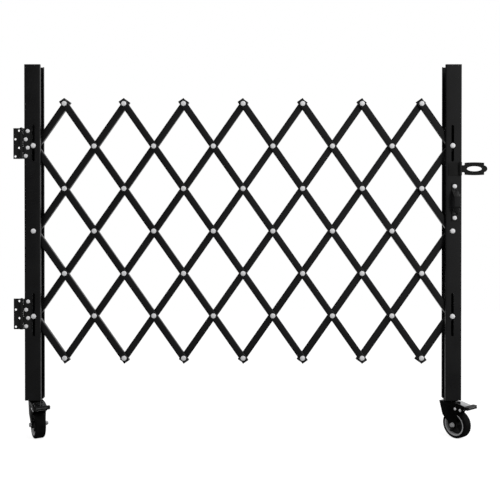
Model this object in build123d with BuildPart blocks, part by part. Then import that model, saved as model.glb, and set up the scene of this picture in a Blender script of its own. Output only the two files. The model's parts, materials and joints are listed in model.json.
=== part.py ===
from build123d import *
import math
import os

# Folding security gate, in millimetres. +X runs along the gate from its hinge side to its free
# side, -Y is the front and +Z is up. The origin lies on the back of the lower wall leaf, in the
# middle of its screw holes.

os.makedirs("parts", exist_ok=True)

# Shared clearances
running_fit = 0.05
loose_fit = 0.1
part_gap = 0.3
overrun = 2400.0

# Hinges
leaf_height = 100.0
leaf_thickness = 2.0
wall_leaf_reach = 27.0
post_leaf_reach = 28.7
barrel_radius = 5.0
hinge_pin_radius = 2.5
hinge_pin_head_radius = 4.2
hinge_pin_head_height = 2.2
hinge_pin_head_rounding = 1.6
knuckle_count = 5
hinge_below_top = 258.4
wall_hole_radius = 3.5
wall_hole_spacing = 56.0
wall_hole_stagger = 14.0
wall_inner_column = 8.5
wall_outer_column = 20.5
pin_to_post = 7.2
screw_inner_column = 13.4
screw_outer_column = 19.9
screw_count = 4
screw_pitch = 27.0
screw_radius = 2.5
screw_head_radius = 6.5
screw_head_height = 2.8
screw_reach = 6.0

# Posts
post_width = 52.5
post_depth = 50.0
post_wall = 2.0
post_lip = 8.0
post_corner = 3.0
post_length = 1097.2
hinge_above_foot = 283.8
mid_pivot_above_middle = 5.2
pivot_inset = 30.0
slot_clearance = 0.25
top_slot_inner_spare = 8.0
top_slot_outer_spare = 3.5
bottom_slot_inner_spare = 32.0
bottom_slot_outer_spare = 1.5

# Lattice bars
columns = 14
rows = 6
bar_pitch = 170.0
bar_end = 15.0
bar_width = 22.0
bar_depth = 13.5
bar_wall = 1.5
bar_corner = 2.5
layer_gap = 1.0
rest_angle = 54.96
open_angle = 44.66
shut_angle = 84.46

# Rivets, post bolts and their sleeves
rivet_radius = 3.0
rivet_head_radius = 8.2
rivet_head_height = 3.0
rivet_tail_radius = 5.5
rivet_tail_height = 2.5
rivet_tail_taper = 20.0
rivet_sleeve_wall = 2.2
head_clearance = 1.0
bolt_radius = 4.0
bolt_head_radius = 8.2
bolt_head_height = 4.5
bolt_sleeve_wall = 2.5
nut_flats = 13.0
nut_height = 7.0
nut_flange_radius = 8.5
nut_flange_height = 1.5
bolt_tail = 2.5

# Pull handle
handle_above_mid = 94.3
handle_inset = 24.0
handle_base_span = 80.0
handle_bolt_from_base = 11.5
handle_foot_end = 10.0
handle_grip_span = 33.0
handle_reach = 34.0
handle_width = 20.0
handle_strap = 3.0
handle_bend = 5.0
handle_bolt_radius = 3.0
handle_bolt_head_radius = 7.0
handle_bolt_head_height = 3.2
handle_nut_flats = 10.0
handle_nut_height = 4.5

# Hasp
hasp_above_mid = 203.0
hasp_base_width = 45.0
hasp_base_height = 43.0
hasp_thickness = 2.0
hasp_barrel_radius = 4.5
hasp_pin_radius = 2.2
hasp_pin_tip = 1.5
hasp_pin_inset = 6.0
hasp_neck_height = 23.5
hasp_neck_length = 8.4
hasp_body_length = 63.6
hasp_body_height = 39.0
hasp_body_bulge = 1.5
hasp_nose_length = 10.3
hasp_nose_radius = 10.8
hasp_slot_length = 48.5
hasp_slot_height = 16.5

# Casters
king_pin_above_wheel = 15.9
swivel_inset = 31.0
trail = 28.0
left_heading = 28.0
right_heading = 37.0
foot_plate_width = 38.0
foot_plate_depth = 47.0
foot_plate_thickness = 2.5
race_radius = 18.5
race_height = 1.5
king_pin_radius = 5.0
king_pin_head_radius = 9.0
king_pin_head_height = 6.0
king_nut_flats = 17.0
king_nut_height = 8.0
crown_height = 2.0
crown_radius = 20.0
fork_plate = 3.0
fork_back = 26.0
fork_shoulder = 32.0
fork_front = 64.0
fork_ear_drop = 7.0
fork_ear_height = 11.0
fork_throat_reach = 43.0
fork_throat_drop = 4.0
fork_waist_back = 13.0
fork_waist_share = 0.785
axle_boss_radius = 12.0
wheel_radius = 45.0
wheel_width = 34.0
tyre_thickness = 8.5
tyre_shoulder = 6.0
rim_thickness = 5.0
rim_inset = 1.0
web_thickness = 6.0
hub_boss_radius = 12.0
hub_boss_proud = 1.5
spoke_count = 5
first_spoke_angle = 90.0
spoke_width = 7.0
spoke_inset = 5.0
axle_radius = 5.0
axle_head_radius = 9.5
axle_head_height = 10.0
pin_head_taper = 8.0

# Foot brake
brake_pivot_reach = 37.0
brake_pivot_rise = 8.8
brake_stop_reach = 56.0
brake_stop_rise = 8.0
brake_pin_radius = 3.0
brake_pin_head_radius = 4.4
brake_pin_head_height = 1.8
brake_cheek = 2.0
brake_cheek_radius = 8.0
pedal_thickness = 2.5
pedal_half_width = 15.5
pedal_start_reach = 34.0
pedal_start_rise = 28.5
pedal_bend_reach = 72.0
pedal_bend_rise = 22.5
pedal_tab_reach = 88.0
pedal_tab_rise = 21.0
pedal_tab_depth = 6.5
pedal_tab_half_width = 27.0
pedal_tab_corner = 5.0
shoe_start_reach = 41.0
shoe_end_reach = 52.0
shoe_clearance = 0.5
shoe_thickness = 7.5
shoe_wedge_share = 0.5

# Places worked out from the sizes above
pin_x = (wall_inner_column + wall_outer_column) / 2
pin_y = -barrel_radius
left_face_x = pin_x + pin_to_post
hinge_spacing = post_length - hinge_above_foot - hinge_below_top
post_bottom_z = -hinge_above_foot
mid_pivot_z = post_bottom_z + post_length / 2 + mid_pivot_above_middle

# Heights above the floor, from the wheel up to the top of the foot plate
wheel_top = 2 * wheel_radius
king_head_z = wheel_top + king_pin_above_wheel
fork_plate_z = king_head_z + king_pin_head_height
crown_z = fork_plate_z + fork_plate
crown_top_z = crown_z + crown_height
race_z = crown_top_z + part_gap
foot_plate_z = race_z + race_height
caster_height = foot_plate_z + foot_plate_thickness

# Lattice, handle and hasp places
floor_z = post_bottom_z - caster_height
half_cell_width = bar_pitch * math.cos(math.radians(rest_angle))
half_cell_height = bar_pitch * math.sin(math.radians(rest_angle))
left_pivot_x = left_face_x + pivot_inset
right_pivot_x = left_pivot_x + columns * half_cell_width
right_face_x = right_pivot_x + pivot_inset
post_axis_y = post_depth / 2
inner_front_y = post_wall
inner_rear_y = post_depth - post_wall
front_bar_y = post_lip + head_clearance + rivet_head_height
rear_bar_y = front_bar_y + bar_depth + layer_gap
handle_x = right_face_x - handle_inset
handle_z = mid_pivot_z + handle_above_mid
handle_bolt_spacing = handle_base_span + 2 * handle_bolt_from_base
hasp_z = mid_pivot_z + hasp_above_mid
hasp_pin_x = right_face_x - hasp_pin_inset
hasp_pin_y = -hasp_barrel_radius - part_gap


def pivot(column, row):
    """Place of one lattice pivot, as X and Z."""
    x = left_pivot_x + column * half_cell_width
    z = mid_pivot_z + (rows / 2 - row) * half_cell_height
    return x, z


def revolve_domed_shank(x, z, head_radius, base_y, peak_y, shank_radius, end_y):
    """Adds one round-headed shank on an axis along Y to the part being built."""
    with BuildSketch(Plane((x, 0, z))) as profile:
        with BuildLine():
            EllipticalCenterArc(
                (0, base_y), head_radius, base_y - peak_y, start_angle=270, arc_size=90
            )
            Polyline(
                (head_radius, base_y),
                (shank_radius, base_y),
                (shank_radius, end_y),
                (0, end_y),
                (0, peak_y),
            )
        make_face()
    revolve(profile.sketch, axis=Axis((x, 0, z), (0, 1, 0)))


def extrude_tube(x, z, outer_radius, inner_radius, front_y, rear_y):
    """Adds one plain sleeve on an axis along Y to the part being built."""
    with BuildSketch(Plane.XZ.offset(-front_y)) as profile:
        with Locations((x, z)):
            Circle(outer_radius)
            Circle(inner_radius, mode=Mode.SUBTRACT)
    extrude(profile.sketch, amount=front_y - rear_y)


def extrude_nut(x, z, flats, bore_radius, front_y, rear_y):
    """Adds one hexagon nut on an axis along Y to the part being built."""
    with BuildSketch(Plane.XZ.offset(-front_y)) as profile:
        with Locations((x, z)):
            RegularPolygon(flats / 2, 6, major_radius=False)
            Circle(bore_radius, mode=Mode.SUBTRACT)
    extrude(profile.sketch, amount=front_y - rear_y)


# Hinges: the leaves lie flat, with their backs on the plane of the post's front face
knuckle_height = leaf_height / knuckle_count
leaf_inner_edge = barrel_radius + part_gap


def add_leaf(hinge_z, side, reach, first_knuckle, bore_radius):
    """Adds one hinge leaf, reaching to the wall side (-1) or to the post side (+1)."""
    bottom_z = hinge_z - leaf_height / 2
    with BuildSketch(Plane.XY.offset(bottom_z)) as profile:
        with Locations((pin_x + side * (leaf_inner_edge + reach) / 2, -leaf_thickness / 2)):
            Rectangle(reach - leaf_inner_edge, leaf_thickness)
    extrude(profile.sketch, amount=leaf_height)
    for index in range(first_knuckle, knuckle_count, 2):
        with BuildSketch(Plane.XY.offset(bottom_z + index * knuckle_height + part_gap / 2)) as profile:
            with Locations((pin_x, pin_y)):
                Circle(barrel_radius)
            with Locations((pin_x + side * leaf_inner_edge / 2, -leaf_thickness / 2)):
                Rectangle(leaf_inner_edge, leaf_thickness)
            with Locations((pin_x, pin_y)):
                Circle(bore_radius, mode=Mode.SUBTRACT)
        extrude(profile.sketch, amount=knuckle_height - part_gap)


def wall_hole_places(hinge_z):
    """Screw holes of a wall leaf: a column near the pin and a lower column near the edge."""
    places = []
    for column, shift in (
        (wall_inner_column, wall_hole_stagger),
        (wall_outer_column, -wall_hole_stagger),
    ):
        for side in (-1, 1):
            places.append((pin_x - column, hinge_z + shift + side * wall_hole_spacing / 2))
    return places


def post_screw_places(hinge_z):
    """Screws of a post leaf, in two staggered columns."""
    places = []
    top_z = hinge_z + (screw_count - 1) / 2 * screw_pitch
    for index in range(screw_count):
        column = screw_outer_column if index % 2 == 0 else screw_inner_column
        places.append((pin_x + column, top_z - index * screw_pitch))
    return places


hinges = {"lower": 0, "upper": hinge_spacing}
for hinge_name, hinge_z in hinges.items():
    with BuildPart() as wall_leaf:
        add_leaf(hinge_z, -1, wall_leaf_reach, 0, hinge_pin_radius)
        with BuildSketch(Plane.XZ):
            with Locations(*wall_hole_places(hinge_z)):
                Circle(wall_hole_radius)
        extrude(amount=overrun, both=True, mode=Mode.SUBTRACT)
    wall_leaf.part.label = f"{hinge_name}_wall_leaf"
    export_step(wall_leaf.part, f"parts/{wall_leaf.part.label}.step")

    with BuildPart() as post_leaf:
        add_leaf(hinge_z, 1, post_leaf_reach, 1, hinge_pin_radius + running_fit)
        with BuildSketch(Plane.XZ):
            with Locations(*post_screw_places(hinge_z)):
                Circle(screw_radius)
        extrude(amount=overrun, both=True, mode=Mode.SUBTRACT)
    post_leaf.part.label = f"{hinge_name}_post_leaf"
    export_step(post_leaf.part, f"parts/{post_leaf.part.label}.step")

    with BuildPart() as hinge_pin:
        with BuildSketch(Plane.XY.offset(hinge_z - leaf_height / 2)):
            with Locations((pin_x, pin_y)):
                Circle(hinge_pin_radius)
        extrude(amount=leaf_height)
        with BuildSketch(Plane.XY.offset(hinge_z + leaf_height / 2)):
            with Locations((pin_x, pin_y)):
                Circle(hinge_pin_head_radius)
        extrude(amount=hinge_pin_head_height)
        fillet(hinge_pin.edges().sort_by(Axis.Z)[-1], hinge_pin_head_rounding)
    hinge_pin.part.label = f"{hinge_name}_hinge_pin"
    export_step(hinge_pin.part, f"parts/{hinge_pin.part.label}.step")

screw_end_y = post_wall + screw_reach
with BuildPart() as hinge_screws:
    for hinge_z in hinges.values():
        for screw_x, screw_z in post_screw_places(hinge_z):
            revolve_domed_shank(
                screw_x,
                screw_z,
                screw_head_radius,
                -leaf_thickness,
                -leaf_thickness - screw_head_height,
                screw_radius,
                screw_end_y,
            )
hinge_screws.part.label = "hinge_screws"
export_step(hinge_screws.part, "parts/hinge_screws.step")


# Posts: lipped channels, open towards the lattice, slotted for the sliding bolts
def bolt_travel(angle):
    """Height of the sliding post bolts from the middle pivot at one bar angle."""
    return 2 * bar_pitch * math.sin(math.radians(angle))


slot_half_width = bolt_radius + slot_clearance
slots = (
    (
        mid_pivot_z + bolt_travel(open_angle) - slot_half_width - top_slot_inner_spare,
        mid_pivot_z + bolt_travel(shut_angle) + slot_half_width + top_slot_outer_spare,
    ),
    (
        mid_pivot_z - bolt_travel(shut_angle) - slot_half_width - bottom_slot_outer_spare,
        mid_pivot_z - bolt_travel(open_angle) + slot_half_width + bottom_slot_inner_spare,
    ),
)


def add_post(face_x, side):
    """Adds one post whose web is at face_x and whose mouth looks along side."""
    pivot_x = face_x + side * pivot_inset
    middle_x = face_x + side * post_width / 2
    with BuildSketch(Plane.XY.offset(post_bottom_z)) as profile:
        with Locations((middle_x, post_axis_y)):
            RectangleRounded(post_width, post_depth, post_corner)
            RectangleRounded(
                post_width - 2 * post_wall,
                post_depth - 2 * post_wall,
                post_corner - post_wall,
                mode=Mode.SUBTRACT,
            )
        with Locations((face_x + side * post_width, post_axis_y)):
            Rectangle(2 * post_corner, post_depth - 2 * post_lip, mode=Mode.SUBTRACT)
    extrude(profile.sketch, amount=post_length)
    with BuildSketch(Plane.XZ) as profile:
        for low_z, high_z in slots:
            with Locations((pivot_x, (low_z + high_z) / 2)):
                SlotOverall(high_z - low_z, 2 * slot_half_width, rotation=90)
        with Locations((pivot_x, mid_pivot_z)):
            Circle(bolt_radius + running_fit)
    extrude(profile.sketch, amount=overrun, both=True, mode=Mode.SUBTRACT)


def cut_front_holes(places, radius):
    """Cuts screw holes through the front flange of the post being built."""
    with BuildSketch(Plane.XZ) as profile:
        with Locations(*places):
            Circle(radius)
    extrude(profile.sketch, amount=-post_wall, mode=Mode.SUBTRACT)


handle_bolt_places = [
    (handle_x, handle_z + side * handle_bolt_spacing / 2) for side in (-1, 1)
]

with BuildPart() as left_post:
    add_post(left_face_x, 1)
    for hinge_z in hinges.values():
        cut_front_holes(post_screw_places(hinge_z), screw_radius)
left_post.part.label = "left_post"
export_step(left_post.part, "parts/left_post.step")

with BuildPart() as right_post:
    add_post(right_face_x, -1)
    cut_front_holes(handle_bolt_places, handle_bolt_radius)
right_post.part.label = "right_post"
export_step(right_post.part, "parts/right_post.step")


# Lattice: the front layer runs down to the right, the rear layer up to the right
def front_pivots(offset):
    """Pivots of the front bar whose column less its row is offset."""
    return [(k, k - offset) for k in range(columns + 1) if 0 <= k - offset <= rows]


def rear_pivots(total):
    """Pivots of the rear bar whose column and row add up to total."""
    return [(k, total - k) for k in range(columns + 1) if 0 <= total - k <= rows]


def at_post(column):
    """Tells whether a column of pivots is carried by a post."""
    return column in (0, columns)


def add_bar(pivots, web_y, rivet_hole, bolt_hole):
    """Adds one channel bar along its pivots, with its web at the front."""
    first_x, first_z = pivot(*pivots[0])
    last_x, last_z = pivot(*pivots[-1])
    run = Vector(last_x - first_x, 0, last_z - first_z)
    along = run.normalized()
    start = Vector(first_x, web_y, first_z) - along * bar_end
    with BuildSketch(Plane(origin=start, x_dir=(0, 1, 0), z_dir=along)) as profile:
        RectangleRounded(
            2 * bar_depth, bar_width, bar_corner, align=(Align.MIN, Align.CENTER)
        )
        with Locations((bar_wall, 0)):
            RectangleRounded(
                2 * bar_depth,
                bar_width - 2 * bar_wall,
                bar_corner - bar_wall,
                align=(Align.MIN, Align.CENTER),
                mode=Mode.SUBTRACT,
            )
        with Locations((bar_depth, 0)):
            Rectangle(
                2 * bar_depth,
                2 * bar_width,
                align=(Align.MIN, Align.CENTER),
                mode=Mode.SUBTRACT,
            )
    extrude(profile.sketch, amount=run.length + 2 * bar_end)
    with BuildSketch(Plane.XZ.offset(-web_y)) as profile:
        for column, row in pivots:
            with Locations(pivot(column, row)):
                Circle(bolt_hole if at_post(column) else rivet_hole)
    extrude(profile.sketch, amount=-bar_wall, mode=Mode.SUBTRACT)


front_offsets = range(1 - rows, columns, 2)
for number, offset in enumerate(front_offsets, 1):
    with BuildPart() as front_bar:
        add_bar(front_pivots(offset), front_bar_y, rivet_radius, bolt_radius)
    front_bar.part.label = f"front_bar_{number:02d}"
    export_step(front_bar.part, f"parts/{front_bar.part.label}.step")

rear_totals = range(1, columns + rows, 2)
for number, total in enumerate(rear_totals, 1):
    with BuildPart() as rear_bar:
        add_bar(
            rear_pivots(total),
            rear_bar_y,
            rivet_radius + running_fit,
            bolt_radius + running_fit,
        )
    rear_bar.part.label = f"rear_bar_{number:02d}"
    export_step(rear_bar.part, f"parts/{rear_bar.part.label}.step")

# Pivot hardware: each front bar carries its own rivets, sleeves and post bolts
sleeve_front_y = front_bar_y + bar_wall
rear_web_back_y = rear_bar_y + bar_wall


def add_rivet(x, z):
    """Adds one lattice rivet, its sleeve and its clenched tail."""
    revolve_domed_shank(
        x,
        z,
        rivet_head_radius,
        front_bar_y,
        front_bar_y - rivet_head_height,
        rivet_radius,
        rear_web_back_y,
    )
    with BuildSketch(Plane.XZ.offset(-rear_web_back_y)) as profile:
        with Locations((x, z)):
            Circle(rivet_tail_radius)
    extrude(profile.sketch, amount=-rivet_tail_height, taper=rivet_tail_taper)
    extrude_tube(
        x,
        z,
        rivet_radius + rivet_sleeve_wall,
        rivet_radius + loose_fit,
        sleeve_front_y,
        rear_bar_y,
    )


def add_post_bolt(x, z):
    """Adds one post bolt with its three spacers and its flanged nut."""
    sleeve_radius = bolt_radius + bolt_sleeve_wall
    bore_radius = bolt_radius + loose_fit
    nut_front_y = post_depth + nut_flange_height
    nut_rear_y = post_depth + nut_height
    revolve_domed_shank(
        x, z, bolt_head_radius, 0, -bolt_head_height, bolt_radius, nut_rear_y + bolt_tail
    )
    extrude_tube(x, z, sleeve_radius, bore_radius, inner_front_y, front_bar_y)
    extrude_tube(x, z, sleeve_radius, bore_radius, sleeve_front_y, rear_bar_y)
    extrude_tube(x, z, sleeve_radius, bore_radius, rear_web_back_y, inner_rear_y)
    extrude_tube(x, z, nut_flange_radius, bore_radius, post_depth, nut_front_y)
    extrude_nut(x, z, nut_flats, bore_radius, nut_front_y, nut_rear_y)


for number, offset in enumerate(front_offsets, 1):
    with BuildPart() as bar_rivets:
        for column, row in front_pivots(offset):
            if at_post(column):
                add_post_bolt(*pivot(column, row))
            else:
                add_rivet(*pivot(column, row))
    bar_rivets.part.label = f"front_bar_{number:02d}_rivets"
    export_step(bar_rivets.part, f"parts/{bar_rivets.part.label}.step")

# Pull handle: one bent strap on the front of the free post
strap_y = -handle_strap / 2
grip_y = handle_strap / 2 - handle_reach
handle_end = handle_bolt_spacing / 2 + handle_foot_end
with BuildPart() as pull_handle:
    with BuildLine(Plane.YZ.offset(handle_x)) as strap_path:
        FilletPolyline(
            (strap_y, handle_z - handle_end),
            (strap_y, handle_z - handle_base_span / 2),
            (grip_y, handle_z - handle_grip_span / 2),
            (grip_y, handle_z + handle_grip_span / 2),
            (strap_y, handle_z + handle_base_span / 2),
            (strap_y, handle_z + handle_end),
            radius=handle_bend,
        )
    strap_wire = strap_path.wire()
    with BuildSketch(Plane(origin=strap_wire @ 0, x_dir=(1, 0, 0), z_dir=strap_wire % 0)):
        Rectangle(handle_width, handle_strap)
    sweep()
    with BuildSketch(Plane.XZ):
        with Locations(*handle_bolt_places):
            Circle(handle_bolt_radius)
    extrude(amount=overrun, both=True, mode=Mode.SUBTRACT)
pull_handle.part.label = "pull_handle"
export_step(pull_handle.part, "parts/pull_handle.step")

with BuildPart() as handle_bolts:
    for bolt_x, bolt_z in handle_bolt_places:
        nut_rear_y = post_wall + handle_nut_height
        revolve_domed_shank(
            bolt_x,
            bolt_z,
            handle_bolt_head_radius,
            -handle_strap,
            -handle_strap - handle_bolt_head_height,
            handle_bolt_radius,
            nut_rear_y,
        )
        extrude_nut(
            bolt_x,
            bolt_z,
            handle_nut_flats,
            handle_bolt_radius + loose_fit,
            inner_front_y,
            nut_rear_y,
        )
handle_bolts.part.label = "handle_bolts"
export_step(handle_bolts.part, "parts/handle_bolts.step")

# Hasp: a base plate with two knuckles, a swinging slotted arm and their pin
hasp_arm_knuckle = hasp_neck_height - part_gap
hasp_base_knuckle = (hasp_base_height - hasp_neck_height) / 2

with BuildPart() as hasp_base:
    with BuildSketch(Plane.XY.offset(hasp_z - hasp_base_height / 2)):
        with Locations((right_face_x - hasp_base_width / 2, -hasp_thickness / 2)):
            Rectangle(hasp_base_width, hasp_thickness)
    extrude(amount=hasp_base_height)
    with BuildSketch(Plane.XY.offset(hasp_z - hasp_neck_height / 2)):
        with Locations((hasp_pin_x - hasp_barrel_radius - part_gap, -hasp_thickness / 2)):
            Rectangle(
                hasp_base_width, 2 * hasp_thickness, align=(Align.MIN, Align.CENTER)
            )
    extrude(amount=hasp_neck_height, mode=Mode.SUBTRACT)
    for bottom_z in (hasp_z - hasp_base_height / 2, hasp_z + hasp_neck_height / 2):
        with BuildSketch(Plane.XY.offset(bottom_z)):
            with Locations((hasp_pin_x, hasp_pin_y)):
                Circle(hasp_barrel_radius)
            with Locations((hasp_pin_x - hasp_barrel_radius / 2, -hasp_thickness / 2)):
                Rectangle(hasp_barrel_radius, hasp_thickness)
            with Locations((hasp_pin_x, hasp_pin_y)):
                Circle(hasp_pin_radius, mode=Mode.SUBTRACT)
        extrude(amount=hasp_base_knuckle)
hasp_base.part.label = "hasp_base"
export_step(hasp_base.part, "parts/hasp_base.step")

body_start_x = right_face_x + hasp_neck_length
body_end_x = body_start_x + hasp_body_length
body_middle_x = (body_start_x + body_end_x) / 2
body_half_height = hasp_body_height / 2
nose_x = body_end_x + hasp_nose_length - hasp_nose_radius
with BuildPart() as hasp_arm:
    with BuildSketch(Plane.XY.offset(hasp_z - hasp_arm_knuckle / 2)):
        with Locations((hasp_pin_x, hasp_pin_y)):
            Circle(hasp_barrel_radius)
        with Locations((hasp_pin_x + hasp_barrel_radius / 2, -hasp_thickness / 2)):
            Rectangle(hasp_barrel_radius, hasp_thickness)
        with Locations((hasp_pin_x, hasp_pin_y)):
            Circle(hasp_pin_radius + running_fit, mode=Mode.SUBTRACT)
    extrude(amount=hasp_arm_knuckle)
    with BuildSketch(Plane.XZ):
        with BuildLine():
            Line((body_start_x, hasp_z - body_half_height), (body_start_x, hasp_z + body_half_height))
            ThreePointArc(
                (body_start_x, hasp_z + body_half_height),
                (body_middle_x, hasp_z + body_half_height + hasp_body_bulge),
                (body_end_x, hasp_z + body_half_height),
            )
            Line((body_end_x, hasp_z + body_half_height), (body_end_x, hasp_z - body_half_height))
            ThreePointArc(
                (body_end_x, hasp_z - body_half_height),
                (body_middle_x, hasp_z - body_half_height - hasp_body_bulge),
                (body_start_x, hasp_z - body_half_height),
            )
        make_face()
        with Locations((nose_x, hasp_z)):
            Circle(hasp_nose_radius)
        with Locations(((hasp_pin_x + hasp_barrel_radius + body_middle_x) / 2, hasp_z)):
            Rectangle(body_middle_x - hasp_pin_x - hasp_barrel_radius, hasp_arm_knuckle)
        with Locations((body_middle_x, hasp_z)):
            Ellipse(hasp_slot_length / 2, hasp_slot_height / 2, mode=Mode.SUBTRACT)
    extrude(amount=hasp_thickness)
hasp_arm.part.label = "hasp_arm"
export_step(hasp_arm.part, "parts/hasp_arm.step")

with BuildPart() as hasp_pin:
    with BuildSketch(Plane.XY.offset(hasp_z - hasp_base_height / 2 - hasp_pin_tip)):
        with Locations((hasp_pin_x, hasp_pin_y)):
            Circle(hasp_pin_radius)
    extrude(amount=hasp_base_height + 2 * hasp_pin_tip)
    chamfer(hasp_pin.edges().filter_by(GeomType.CIRCLE), hasp_pin_tip / 2)
hasp_pin.part.label = "hasp_pin"
export_step(hasp_pin.part, "parts/hasp_pin.step")

# Casters: built on a side plane, whose X runs from the swivel axis to the axle, Y is height
# above the floor and Z points along the axle to the near side
fork_throat_height = wheel_top - fork_throat_drop
fork_waist_height = fork_waist_share * wheel_top
brake_pivot_height = wheel_top + brake_pivot_rise
brake_stop_height = wheel_top + brake_stop_rise
pedal_start_height = wheel_top + pedal_start_rise
pedal_bend_height = wheel_top + pedal_bend_rise
pedal_tab_height = wheel_top + pedal_tab_rise
rim_outer_radius = wheel_radius - tyre_thickness
rim_inner_radius = rim_outer_radius - rim_thickness
rim_half_width = wheel_width / 2 - rim_inset
spoke_end = (rim_outer_radius + rim_inner_radius) / 2
boss_half_width = wheel_width / 2 + hub_boss_proud
leg_inner = boss_half_width + part_gap
leg_outer = leg_inner + fork_plate
leg_starts = (leg_inner, -leg_outer)
cheek_outer = pedal_half_width + brake_cheek
cheek_starts = (pedal_half_width, -cheek_outer)
shoe_bottom_height = wheel_top + shoe_clearance
shoe_top_height = shoe_bottom_height + shoe_thickness
shoe_end_height = shoe_bottom_height + shoe_wedge_share * shoe_thickness


def add_fork(side, level):
    """Adds the fork: its raceway disc, its bent plate and its two legs."""
    with BuildSketch(level.offset(crown_z)) as profile:
        Circle(crown_radius)
    extrude(profile.sketch, amount=crown_height)
    with BuildSketch(level.offset(fork_plate_z)) as profile:
        with Locations(((fork_shoulder - fork_back) / 2, 0)):
            Rectangle(fork_shoulder + fork_back, 2 * leg_outer)
    extrude(profile.sketch, amount=fork_plate)
    for start in leg_starts:
        with BuildSketch(side.offset(start)) as profile:
            with BuildLine():
                Polyline(
                    (-fork_back, crown_z),
                    (fork_shoulder, crown_z),
                    (fork_front, crown_z - fork_ear_drop),
                    (fork_front, crown_z - fork_ear_drop - fork_ear_height),
                    (fork_throat_reach, fork_throat_height),
                    (trail + axle_boss_radius, wheel_radius),
                    (trail - axle_boss_radius, wheel_radius),
                    (-fork_waist_back, fork_waist_height),
                    close=True,
                )
            make_face()
            with Locations((trail, wheel_radius)):
                Circle(axle_boss_radius)
            with Locations((trail, wheel_radius)):
                Circle(axle_radius, mode=Mode.SUBTRACT)
            with Locations(
                (brake_pivot_reach, brake_pivot_height), (brake_stop_reach, brake_stop_height)
            ):
                Circle(brake_pin_radius, mode=Mode.SUBTRACT)
        extrude(profile.sketch, amount=fork_plate)
    with BuildSketch(level) as profile:
        Circle(king_pin_radius + running_fit)
    extrude(profile.sketch, amount=caster_height, mode=Mode.SUBTRACT)


def add_pedal(side, level):
    """Adds the brake pedal: its sloping plate, its wide tab, its cheeks and its shoe."""
    with BuildSketch(side) as profile:
        with BuildLine():
            Polyline(
                (pedal_start_reach, pedal_start_height),
                (pedal_bend_reach, pedal_bend_height),
                (pedal_tab_reach, pedal_tab_height),
                (pedal_tab_reach, pedal_tab_height - pedal_thickness),
                (pedal_bend_reach, pedal_bend_height - pedal_thickness),
                (pedal_start_reach, pedal_start_height - pedal_thickness),
                close=True,
            )
        make_face()
    extrude(profile.sketch, amount=pedal_half_width + brake_cheek, both=True)
    with BuildSketch(level.offset(pedal_bend_height - pedal_thickness - pedal_tab_depth)) as profile:
        with Locations(((pedal_bend_reach + pedal_tab_reach) / 2, 0)):
            RectangleRounded(
                pedal_tab_reach - pedal_bend_reach, 2 * pedal_tab_half_width, pedal_tab_corner
            )
    extrude(profile.sketch, amount=pedal_tab_depth)
    for start in cheek_starts:
        with BuildSketch(side.offset(start)) as profile:
            with Locations((brake_pivot_reach, brake_pivot_height)):
                Circle(brake_cheek_radius)
            with BuildLine():
                Polyline(
                    (brake_pivot_reach, brake_pivot_height + brake_cheek_radius),
                    (pedal_start_reach, pedal_start_height - pedal_thickness),
                    (pedal_bend_reach, pedal_bend_height - pedal_thickness),
                    (shoe_end_reach, brake_stop_height + brake_cheek_radius),
                    (shoe_end_reach, shoe_bottom_height),
                    (shoe_start_reach, shoe_bottom_height),
                    close=True,
                )
            make_face()
            with Locations((brake_pivot_reach, brake_pivot_height)):
                Circle(brake_pin_radius + running_fit, mode=Mode.SUBTRACT)
        extrude(profile.sketch, amount=brake_cheek)
    with BuildSketch(side) as profile:
        with BuildLine():
            Polyline(
                (shoe_start_reach, shoe_bottom_height),
                (shoe_end_reach, shoe_bottom_height),
                (shoe_end_reach, shoe_end_height),
                (brake_pivot_reach + brake_cheek_radius, shoe_top_height),
                close=True,
            )
        make_face()
    extrude(profile.sketch, amount=cheek_outer, both=True)


def add_pin(side, reach, height, radius, head_radius, head_height, inner, outer):
    """Adds one cross pin with a head on each side of the fork."""
    with BuildSketch(side.offset(-inner)) as profile:
        with Locations((reach, height)):
            Circle(radius)
    extrude(profile.sketch, amount=2 * inner)
    for start, amount in ((inner, outer - inner), (-inner, inner - outer)):
        with BuildSketch(side.offset(start)) as profile:
            with Locations((reach, height)):
                Circle(radius)
        extrude(profile.sketch, amount=amount)
    for start, amount in ((outer, head_height), (-outer, -head_height)):
        with BuildSketch(side.offset(start)) as profile:
            with Locations((reach, height)):
                Circle(head_radius)
        extrude(profile.sketch, amount=amount, taper=pin_head_taper)


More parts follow.
